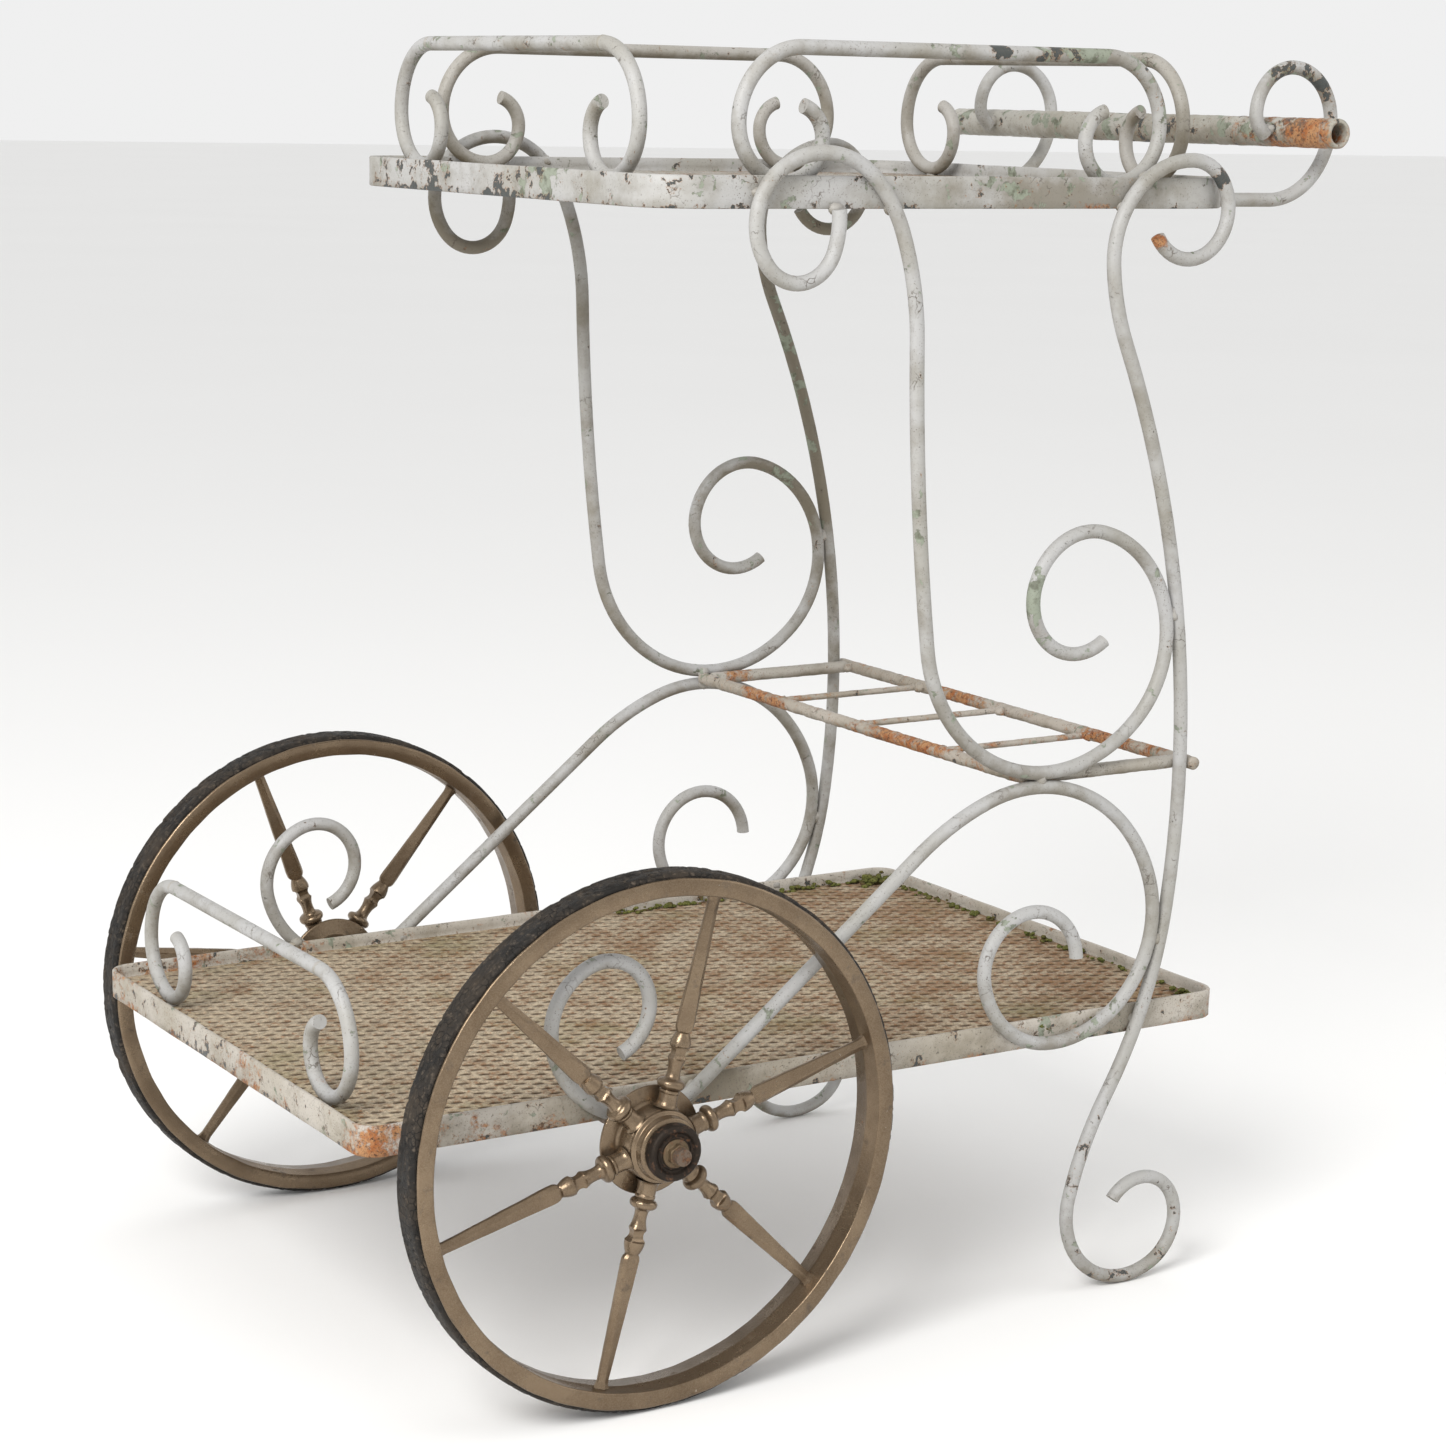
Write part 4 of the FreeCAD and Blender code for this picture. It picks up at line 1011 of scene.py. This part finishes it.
# the cross rails are butt-welded where their straight length meets the bent ends
for node in ("gallery_rail_front", "gallery_rail_back", "shelf_rail_front"):
    low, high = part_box(node)
    joint_y, half_joint = 0.118, 0.0022
    line_x, line_z = (low.x + high.x) / 2, high.z - bar_radius
    for y in (-joint_y, joint_y):
        seed += 1.7
        weld_set.append(lumpy_bar((line_x, y - half_joint, line_z), (line_x, y + half_joint, line_z),
                                  bar_radius + 0.0002, 0.0004, seed, step=0.0006))
points, faces = joined(weld_set)
weld_paint = old_paint("weld_paint", chips=0.5, sage=0.3, rust=0.55, dirt_and_shade=0.6, specks=1.0,
                       tone=(0.36, 0.345, 0.32))
piece_from("frame_welds", points, faces, weld_paint, "cart")
rusty_welds = []
for first, second in (("middle_bar_front", "middle_bar_left"), ("middle_bar_front", "middle_bar_right"),
                      ("middle_bar_back", "middle_bar_left"), ("middle_bar_back", "middle_bar_right"),
                      ("middle_thin_bars", "middle_bar_front"), ("middle_thin_bars", "middle_bar_back")):
    for spot in meeting_places(first, second, 0.0012, 0.02):
        seed += 1.7
        rusty_welds.append(weld_bead(spot, 0.0040, seed, (1.2, 1.1, 0.9)))
points, faces = joined(rusty_welds)
piece_from("middle_welds", points, faces, middle_rust, "cart")

# ------------------------------------------------------------------ moss
# Cushions of moss and lichen in the corners that stay wet: under the near brace
# curl, in the back corner of the shelf and along its far rim.


def moss_green():
    """Short moss, brown where it has dried."""
    finish = Finish("moss_green")
    tuft = finish.patches(500.0, 5.0, 0.7)
    colour = finish.coat((0.060, 0.070, 0.018), (0.20, 0.20, 0.055), finish.between(tuft, 0.38, 0.64))
    colour = finish.coat(colour, (0.10, 0.065, 0.03),
                         finish.between(finish.patches(90.0, 5.0, 0.6), 0.52, 0.66))
    return finish.dress(colour, 0.95, tuft, 0.0015, gloss=0.2)


random.seed(7)
moss_set = []
shelf_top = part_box("shelf_deck")[1].z


def grow_moss(centre, spread, count, size):
    for _ in range(count):
        spot = Vector((centre[0] + random.gauss(0, spread[0]), centre[1] + random.gauss(0, spread[1]),
                       centre[2] + abs(random.gauss(0, spread[2]))))
        spot.x = min(spot.x, shelf_high.x - 0.0065)
        spot.y = max(min(spot.y, shelf_high.y - 0.0055), shelf_low.y + 0.002)
        girth = size * random.uniform(0.5, 1.2)
        moss_set.append(weld_bead(spot, girth, random.uniform(0, 90), (1.2, 1.1, 0.7)))


grow_moss((0.155, shelf_low.y + 0.005, shelf_top), (0.016, 0.003, 0.002), 50, 0.0022)
grow_moss((shelf_high.x - 0.013, shelf_low.y + 0.020, shelf_top), (0.003, 0.006, 0.002), 40, 0.0022)
grow_moss((shelf_high.x - 0.020, shelf_high.y - 0.015, shelf_top), (0.008, 0.004, 0.003), 50, 0.0026)
for k in range(14):
    x = shelf_high.x - 0.02 - k * 0.018
    grow_moss((x, shelf_high.y - 0.007, shelf_top), (0.006, 0.002, 0.0015), 7, 0.0020)
for k in range(16):
    y = shelf_high.y - 0.03 - k * 0.022
    grow_moss((shelf_high.x - 0.008, y, shelf_top), (0.002, 0.007, 0.0012), 7, 0.0019)
points, faces = joined(moss_set)
piece_from("moss_cushions", points, faces, moss_green(), "cart")

# ------------------------------------------------------------------ floor, light, camera
# Plain pale floor, a broad soft light high on the left in front, a weaker one on
# the right, and the camera beside the front wheel at tray height.

floor_mesh = bpy.data.meshes.new("floor")
floor_mesh.from_pydata([(-40, -40, 0), (40, -40, 0), (40, 40, 0), (-40, 40, 0)], [], [(0, 1, 2, 3)])
floor_finish = Finish("floor_white")
floor_tone = floor_finish.coat((0.91, 0.908, 0.90), (0.885, 0.883, 0.875), floor_finish.patches(0.8, 3.0))
floor_mesh.materials.append(floor_finish.dress(floor_tone, 0.9, floor_finish.patches(60.0, 2.0), 0.0001,
                                               gloss=0.1))
floor = bpy.data.objects.new("floor", floor_mesh)
bpy.context.scene.collection.objects.link(floor)


def soft_light(name, spot, aim, size, power, tint):
    light = bpy.data.lights.new(name, "AREA")
    light.shape = "DISK"
    light.size = size
    light.energy = power
    light.color = tint
    lamp = bpy.data.objects.new(name, light)
    bpy.context.scene.collection.objects.link(lamp)
    lamp.location = spot
    lamp.rotation_euler = (Vector(aim) - Vector(spot)).to_track_quat("-Z", "Y").to_euler()
    return lamp


soft_light("window_light", (-2.4, -1.6, 2.4), (0, 0, 0.4), 1.6, 98.0, (1.0, 0.99, 0.975))
soft_light("room_light", (2.6, -1.8, 1.8), (0, 0, 0.4), 2.4, 12.0, (1.0, 0.98, 0.95))
world = bpy.data.worlds.new("room")
world.use_nodes = True
sky = world.node_tree.nodes["Background"]
sky.inputs["Color"].default_value = (1.0, 1.0, 1.0, 1.0)
sky.inputs["Strength"].default_value = 0.87
bpy.context.scene.world = world
bpy.context.scene.view_settings.view_transform = "Standard"

lens = bpy.data.cameras.new("camera")
lens.sensor_width = 36.0
lens.lens = 80.02
lens.shift_x = -0.01885
lens.shift_y = 0.12333
lens.clip_end = 200.0
camera = bpy.data.objects.new("camera", lens)
bpy.context.scene.collection.objects.link(camera)
right = Vector((0.8468, -0.5315, 0.0213)).normalized()
back = Vector((-0.5199, -0.8186, 0.2440)).normalized()
up = back.cross(right).normalized()
right = up.cross(back)
turned_to = Matrix((right, up, back)).transposed().to_4x4()
turned_to.translation = Vector((-1.183875, -1.89596, 0.81779))
camera.matrix_world = turned_to
bpy.context.scene.camera = camera
